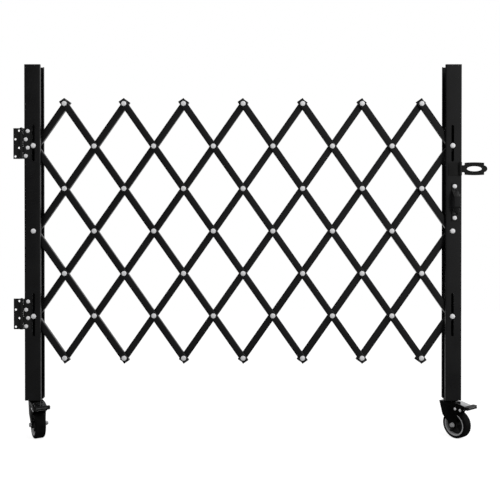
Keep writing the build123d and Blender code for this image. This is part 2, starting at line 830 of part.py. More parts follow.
casters = {
    "left": (left_face_x + swivel_inset, left_heading),
    "right": (right_face_x - swivel_inset, right_heading),
}
for caster_name, (swivel_x, heading) in casters.items():
    sine = math.sin(math.radians(heading))
    cosine = math.cos(math.radians(heading))
    roll = Vector(sine, -cosine, 0)
    axle_line = Vector(-cosine, -sine, 0)
    ground = Vector(swivel_x, post_axis_y, floor_z)
    side = Plane(origin=ground, x_dir=roll, z_dir=axle_line)
    level = Plane(origin=ground, x_dir=roll, z_dir=(0, 0, 1))
    axle_centre = ground + roll * trail + Vector(0, 0, wheel_radius)
    section = Plane(origin=axle_centre, x_dir=axle_line, z_dir=-roll)
    axle_axis = Axis(axle_centre, axle_line)

    with BuildPart() as foot_plate:
        with BuildSketch(Plane((swivel_x, post_axis_y, floor_z + foot_plate_z))):
            Rectangle(foot_plate_width, foot_plate_depth)
        extrude(amount=foot_plate_thickness)
        with BuildSketch(level.offset(race_z)):
            Circle(race_radius)
        extrude(amount=race_height)
        with BuildSketch(level):
            Circle(king_pin_radius)
        extrude(amount=caster_height, mode=Mode.SUBTRACT)
    foot_plate.part.label = f"{caster_name}_caster_plate"
    export_step(foot_plate.part, f"parts/{foot_plate.part.label}.step")

    with BuildPart() as king_pin:
        with BuildSketch(level.offset(king_head_z)):
            Circle(king_pin_head_radius)
        extrude(amount=king_pin_head_height - part_gap)
        with BuildSketch(level.offset(king_head_z)):
            Circle(king_pin_radius)
        extrude(amount=caster_height + king_nut_height - king_head_z)
        with BuildSketch(level.offset(caster_height)):
            RegularPolygon(king_nut_flats / 2, 6, major_radius=False)
        extrude(amount=king_nut_height)
    king_pin.part.label = f"{caster_name}_king_pin"
    export_step(king_pin.part, f"parts/{king_pin.part.label}.step")

    with BuildPart() as caster_fork:
        add_fork(side, level)
    caster_fork.part.label = f"{caster_name}_caster_fork"
    export_step(caster_fork.part, f"parts/{caster_fork.part.label}.step")

    with BuildPart() as wheel_axle:
        add_pin(
            side,
            trail,
            wheel_radius,
            axle_radius,
            axle_head_radius,
            axle_head_height,
            leg_inner,
            leg_outer,
        )
    wheel_axle.part.label = f"{caster_name}_wheel_axle"
    export_step(wheel_axle.part, f"parts/{wheel_axle.part.label}.step")

    with BuildPart() as wheel_hub:
        with BuildSketch(side.offset(-rim_half_width)):
            with Locations((trail, wheel_radius)):
                Circle(rim_outer_radius)
                Circle(rim_inner_radius, mode=Mode.SUBTRACT)
        extrude(amount=2 * rim_half_width)
        with BuildSketch(side):
            with Locations((trail, wheel_radius)):
                Circle(rim_outer_radius)
        extrude(amount=web_thickness / 2, both=True)
        with BuildSketch(side):
            with Locations((trail, wheel_radius)):
                with PolarLocations(0, spoke_count, start_angle=first_spoke_angle):
                    with Locations((spoke_end / 2, 0)):
                        Rectangle(spoke_end, spoke_width)
        extrude(amount=rim_half_width - spoke_inset, both=True)
        with BuildSketch(side):
            with Locations((trail, wheel_radius)):
                Circle(hub_boss_radius)
        extrude(amount=boss_half_width, both=True)
        with BuildSketch(side):
            with Locations((trail, wheel_radius)):
                Circle(axle_radius + running_fit)
        extrude(amount=2 * boss_half_width, both=True, mode=Mode.SUBTRACT)
    wheel_hub.part.label = f"{caster_name}_wheel_hub"
    export_step(wheel_hub.part, f"parts/{wheel_hub.part.label}.step")

    with BuildPart() as wheel_tyre:
        with BuildSketch(section):
            with Locations((0, (rim_outer_radius + wheel_radius) / 2)):
                Rectangle(wheel_width, tyre_thickness)
        revolve(axis=axle_axis)
        fillet(
            wheel_tyre.edges().filter_by(GeomType.CIRCLE).group_by(SortBy.RADIUS)[-1],
            tyre_shoulder,
        )
    wheel_tyre.part.label = f"{caster_name}_wheel_tyre"
    export_step(wheel_tyre.part, f"parts/{wheel_tyre.part.label}.step")

    with BuildPart() as brake_pedal:
        add_pedal(side, level)
    brake_pedal.part.label = f"{caster_name}_brake_pedal"
    export_step(brake_pedal.part, f"parts/{brake_pedal.part.label}.step")

    with BuildPart() as brake_pins:
        for reach, height in (
            (brake_pivot_reach, brake_pivot_height),
            (brake_stop_reach, brake_stop_height),
        ):
            add_pin(
                side,
                reach,
                height,
                brake_pin_radius,
                brake_pin_head_radius,
                brake_pin_head_height,
                leg_inner,
                leg_outer,
            )
    brake_pins.part.label = f"{caster_name}_brake_pins"
    export_step(brake_pins.part, f"parts/{brake_pins.part.label}.step")
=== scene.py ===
"""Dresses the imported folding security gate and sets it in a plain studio."""

import json
import logging
import math
from collections.abc import Sequence
from dataclasses import dataclass, field
from enum import Enum
from functools import reduce

import bpy
import numpy as np
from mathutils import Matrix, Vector


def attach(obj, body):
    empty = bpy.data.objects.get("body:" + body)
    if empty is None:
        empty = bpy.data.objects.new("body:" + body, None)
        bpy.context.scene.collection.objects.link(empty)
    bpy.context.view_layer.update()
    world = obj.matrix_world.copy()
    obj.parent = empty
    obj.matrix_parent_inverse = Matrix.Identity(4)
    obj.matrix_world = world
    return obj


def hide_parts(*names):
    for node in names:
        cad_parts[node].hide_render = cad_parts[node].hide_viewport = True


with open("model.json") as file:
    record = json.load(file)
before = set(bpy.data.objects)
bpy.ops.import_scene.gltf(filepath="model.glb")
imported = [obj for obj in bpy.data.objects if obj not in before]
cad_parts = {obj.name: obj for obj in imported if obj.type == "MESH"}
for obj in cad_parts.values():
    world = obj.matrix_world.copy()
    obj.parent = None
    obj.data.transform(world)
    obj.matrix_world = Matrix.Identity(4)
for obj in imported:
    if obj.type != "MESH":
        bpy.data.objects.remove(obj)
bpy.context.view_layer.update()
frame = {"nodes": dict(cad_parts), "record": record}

Array = np.ndarray
Colour = tuple[float, float, float]
# Metres in a millimetre.
MM = 0.001
LOG = logging.getLogger("gate")
ALONG = np.array([1.0, 0.0, 0.0])
BACKWARD = np.array([0.0, 1.0, 0.0])
UPWARD = np.array([0.0, 0.0, 1.0])
# Nuts and threads: a broken edge and a thread's depth in millimetres, points round a nut,
# and how far a chamfer draws in the flats and the corners.
BREAK = 0.3
THREAD_DEPTH = 0.35
NUT_POINTS = 36
CHAMFER_SHARE = 0.97
CHAMFER_LIMIT = 1.03
# Weld beads: share by which they swell and how long a swell is, in millimetres.
RIPPLE = 0.1
RIPPLE_LENGTH = 1.8


class End(Enum):
    """How a skin of rings ends: with a flat face, or joined to its own start."""

    FLAT = "flat"
    LOOP = "loop"


@dataclass
class Skin:
    """Points in millimetres, the four-sided faces between them, and the end faces."""

    points: Array
    quads: Array
    caps: list[Array] = field(default_factory=list)

    def volume(self) -> float:
        """Signed volume: a sixth of the sum of a . (b x c) over the triangles.

        Returns:
            The volume, which is below zero where the faces point in.
        """
        a, b, c, d = (self.points[column] for column in self.quads.T)
        total = np.sum(a * np.cross(b, c)) + np.sum(a * np.cross(c, d))
        for cap in self.caps:
            ring = self.points[cap]
            total += np.sum(ring[0] * np.cross(ring[1:-1], ring[2:]))
        return float(total) / 6

    def outward(self) -> "Skin":
        """The same skin with every face pointing out.

        Returns:
            This skin, turned where it has to be.
        """
        if self.volume() < 0:
            self.quads = self.quads[:, ::-1]
            self.caps = [cap[::-1] for cap in self.caps]
        return self

    def __add__(self, other: "Skin") -> "Skin":
        """Both skins as one, each keeping its own faces.

        Args:
            other: Skin to join on.

        Returns:
            The joined skin.
        """
        step = len(self.points)
        return Skin(
            np.vstack([self.points, other.points]),
            np.vstack([self.quads, other.quads + step]),
            self.caps + [cap + step for cap in other.caps],
        )


def joined(skins: Sequence[Skin]) -> Skin:
    """All the skins as one."""
    return reduce(lambda first, second: first + second, skins)


@dataclass(frozen=True)
class Place:
    """A point on the gate with three axes of its own."""

    origin: Array
    first: Array = field(default_factory=lambda: ALONG)
    second: Array = field(default_factory=lambda: UPWARD)
    third: Array = field(default_factory=lambda: BACKWARD)

    def out(self, points: Array) -> Array:
        """Row frame points: origin + x first + y second + z third."""
        return self.origin + points @ np.array([self.first, self.second, self.third])


def through(x: float, z: float, y: float = 0.0) -> Place:
    """Place whose third axis runs straight back through the gate at x and z."""
    return Place(np.array([x, y, z]))


def upright(x: float, y: float, z: float = 0.0) -> Place:
    """Place whose third axis stands upright on x, y and z."""
    return Place(np.array([x, y, z]), ALONG, BACKWARD, UPWARD)


def tube(rings: Array, end: End = End.FLAT) -> Skin:
    """Joins rings of points into one closed skin.

    Formula: the face (i, j) joins the points (i, j), (i, j + 1), (i + 1, j + 1) and
    (i + 1, j), with j taken round the ring and, for a loop, i taken round the rings.

    Args:
        rings: Points as rings x points round x 3.
        end: Whether the two ends are flat faces or meet.

    Returns:
        The skin, facing out.
    """
    count, around, _ = rings.shape
    rows = np.arange(count if end is End.LOOP else count - 1)
    i, j = np.meshgrid(rows, np.arange(around), indexing="ij")
    here, beyond, beside = i * around, (i + 1) % count * around, (j + 1) % around
    quads = np.stack([here + j, here + beside, beyond + beside, beyond + j], -1)
    caps = []
    if end is End.FLAT:
        caps = [np.arange(around)[::-1], np.arange(around) + (count - 1) * around]
    return Skin(rings.reshape(-1, 3), quads.reshape(-1, 4), caps).outward()


def lathe(
    profile: Array, place: Place, around: int = 32, end: End = End.FLAT, swell: Array | None = None
) -> Skin:
    """Turns a profile round the third axis of a place.

    Formula: point (i, j) = r_i s_ij (cos a_j first + sin a_j second) + h_i third, with
    a_j = 2 pi j / around and s the swell, which is 1 for a round piece.

    Args:
        profile: Radius and height of each ring.
        place: Where the axis stands.
        around: Points in each ring.
        end: Whether the profile is a loop of its own.
        swell: Share of the radius at each ring and angle.

    Returns:
        The turned skin.
    """
    angles = np.linspace(0, 2 * np.pi, around, endpoint=False)
    reach = profile[:, :1] * (np.ones((1, around)) if swell is None else swell)
    height = np.broadcast_to(profile[:, 1:], reach.shape)
    return tube(place.out(np.stack([reach * np.cos(angles), reach * np.sin(angles), height], -1)), end)


def polygon(around: int, sides: int = 6, limit: float = 2.0) -> Array:
    """Swell of a polygon: 1 / cos(a), with a the angle from the nearest flat, up to a limit.

    Args:
        around: Points in each ring.
        sides: Sides of the polygon.
        limit: Largest swell, past which a chamfer cuts the corners off.

    Returns:
        The swell, as one row.
    """
    angles = np.linspace(0, 2 * np.pi, around, endpoint=False)
    step = 2 * np.pi / sides
    nearest = (angles + step / 2) % step - step / 2
    return np.minimum(1 / np.cos(nearest), limit)[None]


def rounded(corners: Array, radius: float | Array, closed: bool = True, steps: int = 6) -> Array:
    """Rounds the corners of an outline or a path.

    Formula: with w the angle that a corner turns by, its arc starts and ends at
    r tan(w / 2) from the corner, and each arc point is its centre plus the two end rays
    blended by sin((1 - t) w) / sin w and sin(t w) / sin w.

    Args:
        corners: The sharp corners in order.
        radius: One radius, or one for each corner that is rounded.
        closed: Whether the last corner leads back to the first.
        steps: Points on each arc.

    Returns:
        The points of the rounded line.
    """
    bend = corners if closed else corners[1:-1]
    before = (np.roll(corners, 1, axis=0) if closed else corners[:-2]) - bend
    after = (np.roll(corners, -1, axis=0) if closed else corners[2:]) - bend
    before = before / np.linalg.norm(before, axis=1, keepdims=True)
    after = after / np.linalg.norm(after, axis=1, keepdims=True)
    size = np.broadcast_to(np.atleast_1d(np.asarray(radius, float)), len(bend))[:, None]
    turn = np.pi - np.arccos(np.clip(np.sum(before * after, axis=1, keepdims=True), -1, 1))
    middle = before + after
    middle = middle / np.linalg.norm(middle, axis=1, keepdims=True)
    centre = bend + middle * size / np.cos(turn / 2)
    start = bend + before * size * np.tan(turn / 2) - centre
    finish = bend + after * size * np.tan(turn / 2) - centre
    t = np.linspace(0, 1, steps)[None, :, None]
    swing = turn[:, None]
    arcs = np.sin((1 - t) * swing) * start[:, None] + np.sin(t * swing) * finish[:, None]
    points = (centre[:, None] + arcs / np.sin(swing)).reshape(-1, corners.shape[1])
    return points if closed else np.vstack([corners[:1], points, corners[-1:]])


def box_outline(width: float, height: float, radius: float, steps: int = 5) -> Array:
    """Rounded rectangle about the middle."""
    signs = np.array([[-1, -1], [1, -1], [1, 1], [-1, 1]])
    return rounded(signs * np.array([width, height]) / 2, radius, steps=steps)


def inward(outline: Array) -> Array:
    """Unit ways into a closed outline: its tangent turned by a right angle.

    Args:
        outline: Its points in order, in either sense.

    Returns:
        One unit way for each point.
    """
    tangent = np.roll(outline, -1, axis=0) - np.roll(outline, 1, axis=0)
    tangent = tangent / np.linalg.norm(tangent, axis=1, keepdims=True)
    x, y = outline.T
    turned = np.stack([-tangent[:, 1], tangent[:, 0]], -1)
    return turned * np.sign(np.sum(x * np.roll(y, -1) - y * np.roll(x, -1)))


def eased_edge(thickness: float, ease: float, steps: int = 3) -> tuple[Array, Array]:
    """Inset and height of the rings round a plate's edge: a quarter circle at each face.

    Args:
        thickness: Height of the plate.
        ease: Radius of its edges.
        steps: Rings on each quarter circle.

    Returns:
        The insets and the heights, from the low face up.
    """
    t = np.linspace(0, np.pi / 2, steps)
    inset, height = ease * (1 - np.sin(t)), ease * (1 - np.cos(t))
    return np.r_[inset, inset[::-1]], np.r_[height, thickness - height[::-1]]


def edge_rings(outline: Array, ways: Array, thickness: float, ease: float) -> Array:
    """Rings round a plate's edge: outline + inset ways, at the eased heights.

    Args:
        outline: Outer points of the plate.
        ways: Unit way in from each of them.
        thickness: Height of the plate.
        ease: Radius of its edges.

    Returns:
        Points as rings x points round x 3.
    """
    inset, height = eased_edge(thickness, ease)
    flat = outline[None] + inset[:, None, None] * ways[None]
    return np.concatenate([flat, np.broadcast_to(height[:, None, None], flat.shape[:2] + (1,))], 2)


def plate(outline: Array, thickness: float, place: Place, ease: float = 0.4) -> Skin:
    """Flat plate with eased edges, from the place's plane along its third axis."""
    return tube(place.out(edge_rings(outline, inward(outline), thickness, ease)))


def ring_plate(
    outline: Array, hole: Array, thickness: float, place: Place, ease: float = 0.4
) -> Skin:
    """Flat plate with one hole.

    Formula: the rings run down the outer edge and back up the edge of the hole, and the
    last joins the first, so that both outlines need the same count of points.

    Args:
        outline: Outer edge.
        hole: Edge of the hole, point for point beside the outer edge.
        thickness: Thickness along the third axis.
        place: Where the plate lies.
        ease: Radius of its edges.

    Returns:
        The plate.
    """
    outer = edge_rings(outline, inward(outline), thickness, ease)
    inner = edge_rings(hole, -inward(hole), thickness, ease)
    return tube(place.out(np.concatenate([outer, inner[::-1]])), End.LOOP)


def sweep(section: Array, path: Array, across: Array, ease: float = 0.3) -> Skin:
    """Carries a closed section along a path that lies in one plane, easing both ends.

    Formula: point (i, j) = path_i + u_j across + v_j (across x tangent_i). The first and
    the last ring are the section drawn in by the ease.

    Args:
        section: Closed outline, as u along across and v in the path's plane.
        path: Points of the path.
        across: Unit way square to the path's plane.
        ease: Radius of the end edges.

    Returns:
        The closed skin.
    """
    tangents = np.gradient(path, axis=0)
    tangents = tangents / np.linalg.norm(tangents, axis=1, keepdims=True)
    stations = np.vstack(
        [path[:1], path[0] + ease * tangents[0], path[1:-1], path[-1] - ease * tangents[-1], path[-1:]]
    )
    tangents = np.vstack([tangents[:1], tangents, tangents[-1:]])
    sides = np.cross(across, tangents)
    drawn_in = section + ease * inward(section)
    sections = np.stack([drawn_in, *[section] * (len(stations) - 2), drawn_in])
    rings = stations[:, None] + sections[..., :1] * across + sections[..., 1:] * sides[:, None]
    return tube(rings)


def along_outline(corners: Array, count: int) -> Array:
    """Points spread along a closed outline.

    Formula: linear interpolation of x and y over the length run, at count even steps and
    at every corner.

    Args:
        corners: The outline's corners in order.
        count: Even steps round the outline.

    Returns:
        The points, with all the corners among them.
    """
    closed = np.vstack([corners, corners[:1]])
    run = np.r_[0, np.cumsum(np.linalg.norm(np.diff(closed, axis=0), axis=1))]
    spots = np.union1d(run, np.linspace(0, run[-1], count))[:-1]
    return np.stack([np.interp(spots, run, closed[:, 0]), np.interp(spots, run, closed[:, 1])], -1)


def oval_beside(outline: Array, half_length: float, half_height: float) -> Array:
    """Oval about the middle, each point at the same angle as the outline's.

    Formula: radius = a b / root((b cos t)^2 + (a sin t)^2), with t the angle of the point.

    Args:
        outline: Points whose angles it takes.
        half_length: Half its length, a.
        half_height: Half its height, b.

    Returns:
        The points of the oval.
    """
    angle = np.arctan2(outline[:, 1], outline[:, 0])
    cos, sin = np.cos(angle), np.sin(angle)
    radius = half_length * half_height / np.hypot(half_height * cos, half_length * sin)
    return np.stack([radius * cos, radius * sin], -1)


def weld(start: Array, way: Array, length: float, size: float) -> Skin:
    """Weld bead along a straight seam.

    Formula: a circle carried along the seam, of radius size (1 + RIPPLE sin(2 pi s /
    RIPPLE_LENGTH)) times the root of 1 - (2 s / length - 1)^8, with s the length run.

    Args:
        start: Where the seam starts.
        way: Unit way along it.
        length: How long it is.
        size: Radius of the bead.

    Returns:
        The bead.
    """
    run = np.linspace(0.02, length - 0.02, 60)
    radius = size * (1 + RIPPLE * np.sin(2 * np.pi * run / RIPPLE_LENGTH))
    radius = radius * np.sqrt(1 - (2 * run / length - 1) ** 8)
    angles = np.linspace(0, 2 * np.pi, 10, endpoint=False)[None, :, None]
    ring = np.cos(angles) * np.cross(way, UPWARD) + np.sin(angles) * UPWARD
    return tube(start + run[:, None, None] * way + radius[:, None, None] * ring)


def flanged_nut(place: Place, flats: float, height: float, flange: float, rim: float) -> Skin:
    """Hexagon nut on a round flange.

    Args:
        place: Seat of the nut, with the third axis away from the seat.
        flats: Half the width across its flats.
        height: Height with the flange.
        flange: Radius of the flange.
        rim: Height of the flange.

    Returns:
        The nut.
    """
    root, chamfer = flats * 1.12, flats * CHAMFER_SHARE
    rows = np.array(
        [(flange - BREAK, 0.0), (flange, BREAK), (flange, rim * 0.6), (root, rim)]
        + [(flats, rim + BREAK), (flats, height - 3 * BREAK), (chamfer, height)]
    )
    swell = np.ones((len(rows), NUT_POINTS))
    swell[4:6] = polygon(NUT_POINTS)
    swell[6] = polygon(NUT_POINTS, limit=CHAMFER_LIMIT)
    return lathe(rows, place, NUT_POINTS, swell=swell)


def plain_nut(place: Place, flats: float, heights: Sequence[float]) -> Skin:
    """Hexagon nut with both faces chamfered.

    Args:
        place: Where its axis stands.
        flats: Half the width across its flats.
        heights: Heights of the low face, of the flats' low and high ends and of the high face.

    Returns:
        The nut.
    """
    radii = flats * np.array([CHAMFER_SHARE, 1.0, 1.0, CHAMFER_SHARE])
    cut, full = polygon(NUT_POINTS, limit=CHAMFER_LIMIT), polygon(NUT_POINTS)
    swell = np.vstack([cut, full, full, cut])
    return lathe(np.stack([radii, heights], -1), place, NUT_POINTS, swell=swell)


def thread(radius: float, start: float, end: float, count: int) -> Array:
    """Profile of a thread: rings at even heights, every second one THREAD_DEPTH deeper."""
    heights = np.linspace(start, end, count)
    return np.stack([radius - THREAD_DEPTH * (np.arange(count) % 2), heights], -1)


def domed(head_radius: float, height: float, lip: float, steps: int = 9) -> Array:
    """Round head above its seat, from the crown down.

    Formula: radius = R sin t and height = lip + (h - lip) cos t over a quarter turn, then
    straight down the lip to the seat.

    Args:
        head_radius: Radius of the head, R.
        height: Height of the crown, h.
        lip: Height at which the dome starts.
        steps: Rings on the dome.

    Returns:
        Radius and height of each ring.
    """
    t = np.linspace(0.08, 1, steps) * np.pi / 2
    crown = np.stack([head_radius * np.sin(t), lip + (height - lip) * np.cos(t)], -1)
    return np.vstack([crown, [[head_radius, lip * 0.4], [head_radius * 0.975, 0.0]]])


class Tree:
    """Adds nodes to one node tree and joins them."""

    def __init__(self, tree: bpy.types.NodeTree) -> None:
        """Takes the tree to work on."""
        self.tree = tree

    def add(self, kind: str, **settings: object) -> bpy.types.Node:
        """Adds one node and sets its properties.

        Args:
            kind: Type of the node.
            **settings: Its properties and their values.

        Returns:
            The node.
        """
        node = self.tree.nodes.new(kind)
        for name, value in settings.items():
            setattr(node, name, value)
        return node

    def feed(self, socket: bpy.types.NodeSocket, value: object) -> None:
        """Links a socket to another node's output, or sets its value.

        Args:
            socket: Input to fill.
            value: An output to link, or a plain value.
        """
        if isinstance(value, bpy.types.NodeSocket):
            self.tree.links.new(value, socket)
        else:
            socket.default_value = value

    def math(self, operation: str, *values: object, clamp: bool = False) -> bpy.types.NodeSocket:
        """Result of one sum on the given numbers and sockets.

        Args:
            operation: Blender's name of the sum.
            *values: Numbers and sockets.
            clamp: Whether to keep the result between 0 and 1.

        Returns:
            The result.
        """
        node = self.add("ShaderNodeMath", operation=operation, use_clamp=clamp)
        for socket, value in zip(node.inputs, values):
            self.feed(socket, value)
        return node.outputs[0]

    def times(self, *values: object) -> bpy.types.NodeSocket:
        """Product of all the values."""
        return reduce(lambda one, other: self.math("MULTIPLY", one, other), values)

    def plus(self, *values: object) -> bpy.types.NodeSocket:
        """Sum of all the values."""
        return reduce(lambda one, other: self.math("ADD", one, other), values)

    def less(self, whole: object, part: object) -> bpy.types.NodeSocket:
        """The whole less a part."""
        return self.math("SUBTRACT", whole, part)

    def most(self, *values: object) -> bpy.types.NodeSocket:
        """Largest of all the values."""
        return reduce(lambda one, other: self.math("MAXIMUM", one, other), values)

    def mix(self, share: object, low: object, high: object) -> bpy.types.NodeSocket:
        """Colour between two colours.

        Args:
            share: Share of the high colour.
            low: Colour at share 0.
            high: Colour at share 1.

        Returns:
            The mixed colour.
        """
        node = self.add("ShaderNodeMix", data_type="RGBA")
        for index, value in ((0, share), (6, low), (7, high)):
            full = isinstance(value, tuple) and len(value) == 3
            self.feed(node.inputs[index], (*value, 1.0) if full else value)
        return node.outputs[2]

    def noise(self, vector: object, size: object, detail: float = 3.0) -> bpy.types.NodeSocket:
        """Noise whose features are as wide as size, in metres.

        Args:
            vector: Where to look it up.
            size: Width of a feature.
            detail: Number of octaves.

        Returns:
            The noise, around a half.
        """
        node = self.add("ShaderNodeTexNoise")
        self.feed(node.inputs["Vector"], vector)
        self.feed(node.inputs["Scale"], self.math("DIVIDE", 1.0, size))
        self.feed(node.inputs["Detail"], detail)
        return node.outputs[0]

    def ramp(self, value: object, low: object, high: object) -> bpy.types.NodeSocket:
        """Share of the way from low to high, kept between 0 and 1.

        Args:
            value: What to look at.
            low: Value whose share is 0.
            high: Value whose share is 1.

        Returns:
            The share, smooth at both ends.
        """
        node = self.add("ShaderNodeMapRange", interpolation_type="SMOOTHSTEP")
        for index, part in enumerate((value, low, high)):
            self.feed(node.inputs[index], part)
        return node.outputs[0]


class Effects:
    """Shader groups that several finishes share, each built once."""

    patch_range: tuple[float, float] = (0.75, 1.25)
    edge_range: tuple[float, float] = (0.02, 0.25)
    chip_size: float = 0.006
    chip_start: float = 0.85
    chip_width: float = 0.12
    upward_range: tuple[float, float] = (0.2, 0.95)
    dust_range: tuple[float, float] = (0.3, 0.8)

    def __init__(self) -> None:
        """Builds the three groups."""
        self.grain = self.group("fine_grain", {"Grain": 0.001, "Patch": 0.05}, ("Fine", "Patchy"))
        self.wear = self.group("edge_wear", {"Radius": 0.001, "Amount": 0.3}, ("Mask",))
        self.dust = self.group("settled_dust", {"Patch": 0.02, "Amount": 0.2}, ("Mask",))
        self.build_grain()
        self.build_wear()
        self.build_dust()

    @staticmethod
    def group(name: str, inputs: dict[str, float], outputs: Sequence[str]) -> bpy.types.NodeTree:
        """Makes an empty group with a vector input and named number sockets.

        Args:
            name: Name of the group.
            inputs: Number sockets with their defaults.
            outputs: Names of the output numbers.

        Returns:
            The group.
        """
        tree = bpy.data.node_groups.new(name, "ShaderNodeTree")
        tree.interface.new_socket("Vector", in_out="INPUT", socket_type="NodeSocketVector")
        for label, value in inputs.items():
            socket = tree.interface.new_socket(label, in_out="INPUT", socket_type="NodeSocketFloat")
            socket.default_value = value
        for label in outputs:
            tree.interface.new_socket(label, in_out="OUTPUT", socket_type="NodeSocketFloat")
        return tree

    def build_grain(self) -> None:
        """Fine grain is a small noise, and the patches are two wide noises averaged."""
        tree = Tree(self.grain)
        source, sink = tree.add("NodeGroupInput"), tree.add("NodeGroupOutput")
        vector, grain, patch = (source.outputs[n] for n in ("Vector", "Grain", "Patch"))
        wide = tree.noise(vector, patch, 4.0)
        wider = tree.noise(vector, tree.times(patch, 4.0), 2.0)
        tree.feed(sink.inputs["Fine"], tree.noise(vector, grain, 2.0))
        tree.feed(sink.inputs["Patchy"], tree.ramp(tree.plus(wide, wider), *self.patch_range))

    def build_wear(self) -> None:
        """Worn edges: where the rounded normal leaves the true one, broken up by noise."""
        tree = Tree(self.wear)
        source, sink = tree.add("NodeGroupInput"), tree.add("NodeGroupOutput")
        bevel = tree.add("ShaderNodeBevel", samples=4)
        tree.feed(bevel.inputs["Radius"], source.outputs["Radius"])
        apart = tree.add("ShaderNodeVectorMath", operation="DOT_PRODUCT")
        tree.feed(apart.inputs[0], bevel.outputs[0])
        tree.feed(apart.inputs[1], tree.add("ShaderNodeNewGeometry").outputs["Normal"])
        edge = tree.ramp(tree.less(1.0, apart.outputs["Value"]), *self.edge_range)
        chips = tree.noise(source.outputs["Vector"], self.chip_size, 5.0)
        start = tree.less(self.chip_start, tree.times(source.outputs["Amount"], 0.5))
        broken = tree.ramp(chips, start, tree.plus(start, self.chip_width))
        tree.feed(sink.inputs["Mask"], tree.times(edge, broken))

    def build_dust(self) -> None:
        """Dust lies where a surface looks up, in soft patches."""
        tree = Tree(self.dust)
        source, sink = tree.add("NodeGroupInput"), tree.add("NodeGroupOutput")
        split = tree.add("ShaderNodeSeparateXYZ")
        tree.feed(split.inputs[0], tree.add("ShaderNodeNewGeometry").outputs["Normal"])
        level = tree.ramp(split.outputs["Z"], *self.upward_range)
        noise = tree.noise(source.outputs["Vector"], source.outputs["Patch"], 5.0)
        patches = tree.ramp(noise, *self.dust_range)
        tree.feed(sink.inputs["Mask"], tree.times(level, patches, source.outputs["Amount"]))


@dataclass(frozen=True)
class Finish:
    """One coat, plating or moulding: colours as linear shares, lengths in millimetres."""

    slot: str
    dark: Colour
    light: Colour
    smooth: float
    rough: float
    metallic: float = 0.0
    specular: float = 0.5
    grain: float = 1.4
    relief: float = 0.02
    patch: float = 60.0
    wear_radius: float = 0.8
    wear: float = 0.0
    worn: Colour = (0.25, 0.25, 0.26)
    dust: float = 0.0
    dust_colour: Colour = (0.20, 0.19, 0.17)
    uneven: float = 0.06
    dust_dulling: float = 0.5
    name: str = ""

    def material(self, effects: Effects) -> bpy.types.Material:
        """Builds the finish as one material.

        Args:
            effects: The shared shader groups.

        Returns:
            The material, named after the finish.
        """
        material = bpy.data.materials.new(self.name or self.slot)
        material.use_nodes = True
        material.node_tree.nodes.clear()
        tree = Tree(material.node_tree)
        place = tree.add("ShaderNodeTexCoord").outputs["Object"]
        grain = self.placed(tree, effects.grain, place, Grain=self.grain * MM, Patch=self.patch * MM)
        wear = self.placed(tree, effects.wear, place, Radius=self.wear_radius * MM, Amount=self.wear)
        dust = self.placed(tree, effects.dust, place, Patch=self.patch * MM / 3, Amount=self.dust)
        shader = tree.add("ShaderNodeBsdfPrincipled")
        base = tree.mix(grain.outputs["Patchy"], self.dark, self.light)
        bare = tree.mix(wear.outputs["Mask"], base, self.worn)
        tree.feed(shader.inputs["Base Color"], tree.mix(dust.outputs["Mask"], bare, self.dust_colour))
        patchy = tree.times(grain.outputs["Patchy"], self.rough - self.smooth)
        fine = tree.times(grain.outputs["Fine"], self.uneven)
        dull = tree.times(dust.outputs["Mask"], self.dust_dulling)
        clean = tree.plus(patchy, self.smooth - self.uneven / 2, fine)
        tree.feed(shader.inputs["Roughness"], tree.math("ADD", clean, dull, clamp=True))
        if self.wear and self.metallic < 1:
            gain = tree.times(wear.outputs["Mask"], 1 - self.metallic)
            tree.feed(shader.inputs["Metallic"], tree.plus(gain, self.metallic))
        else:
            shader.inputs["Metallic"].default_value = self.metallic
        shader.inputs["Specular IOR Level"].default_value = self.specular
        bump = tree.add("ShaderNodeBump")
        bump.inputs["Distance"].default_value = self.relief * MM
        tree.feed(bump.inputs["Height"], grain.outputs["Fine"])
        tree.feed(shader.inputs["Normal"], bump.outputs[0])
        output = tree.add("ShaderNodeOutputMaterial")
        tree.feed(output.inputs["Surface"], shader.outputs[0])
        return material

    @staticmethod
    def placed(tree: Tree, group: bpy.types.NodeTree, vector: object, **values: float) -> bpy.types.Node:
        """Places a shared group in the material with this finish's own values.

        Args:
            tree: The material's tree.
            group: Shared group to place.
            vector: Coordinates that it reads.
            **values: Its number sockets.

        Returns:
            The placed group.
        """
        node = tree.add("ShaderNodeGroup", node_tree=group)
        tree.feed(node.inputs["Vector"], vector)
        for name, value in values.items():
            node.inputs[name].default_value = value
        return node


POWDER_COAT = Finish(
    "black_powder_coat",
    (0.0042, 0.0042, 0.0045),
    (0.0062, 0.0062, 0.0066),
    0.26,
    0.33,
    wear=0.1,
    dust=0.03,
)
HINGE_BLACK = Finish(
    "black_hinge",
    (0.010, 0.010, 0.010),
    (0.015, 0.015, 0.015),
    0.32,
    0.42,
    specular=0.12,
    grain=0.9,
    dust=0.03,
)
CASTER_STEEL = Finish(
    "black_caster_steel",
    (0.001, 0.001, 0.0011),
    (0.0018, 0.0018, 0.0018),
    0.34,
    0.46,
    specular=0.1,
    wear=0.06,
    dust=0.02,
)
ZINC = Finish(
    "zinc_plate",
    (0.84, 0.84, 0.85),
    (0.91, 0.91, 0.92),
    0.28,
    0.36,
    metallic=0.3,
    grain=0.4,
    relief=0.004,
    patch=7.0,
    dust=0.03,
)
AXLE_STEEL = Finish(
    "zinc_plate",
    (0.50, 0.50, 0.51),
    (0.62, 0.62, 0.63),
    0.28,
    0.4,
    metallic=0.65,
    grain=0.5,
    relief=0.006,
    patch=9.0,
    name="axle_steel",
)
PEDAL_STEEL = Finish(
    "pedal_steel",
    (0.29, 0.295, 0.30),
    (0.44, 0.445, 0.45),
    0.15,
    0.27,
    metallic=1.0,
    grain=0.8,
    patch=12.0,
)
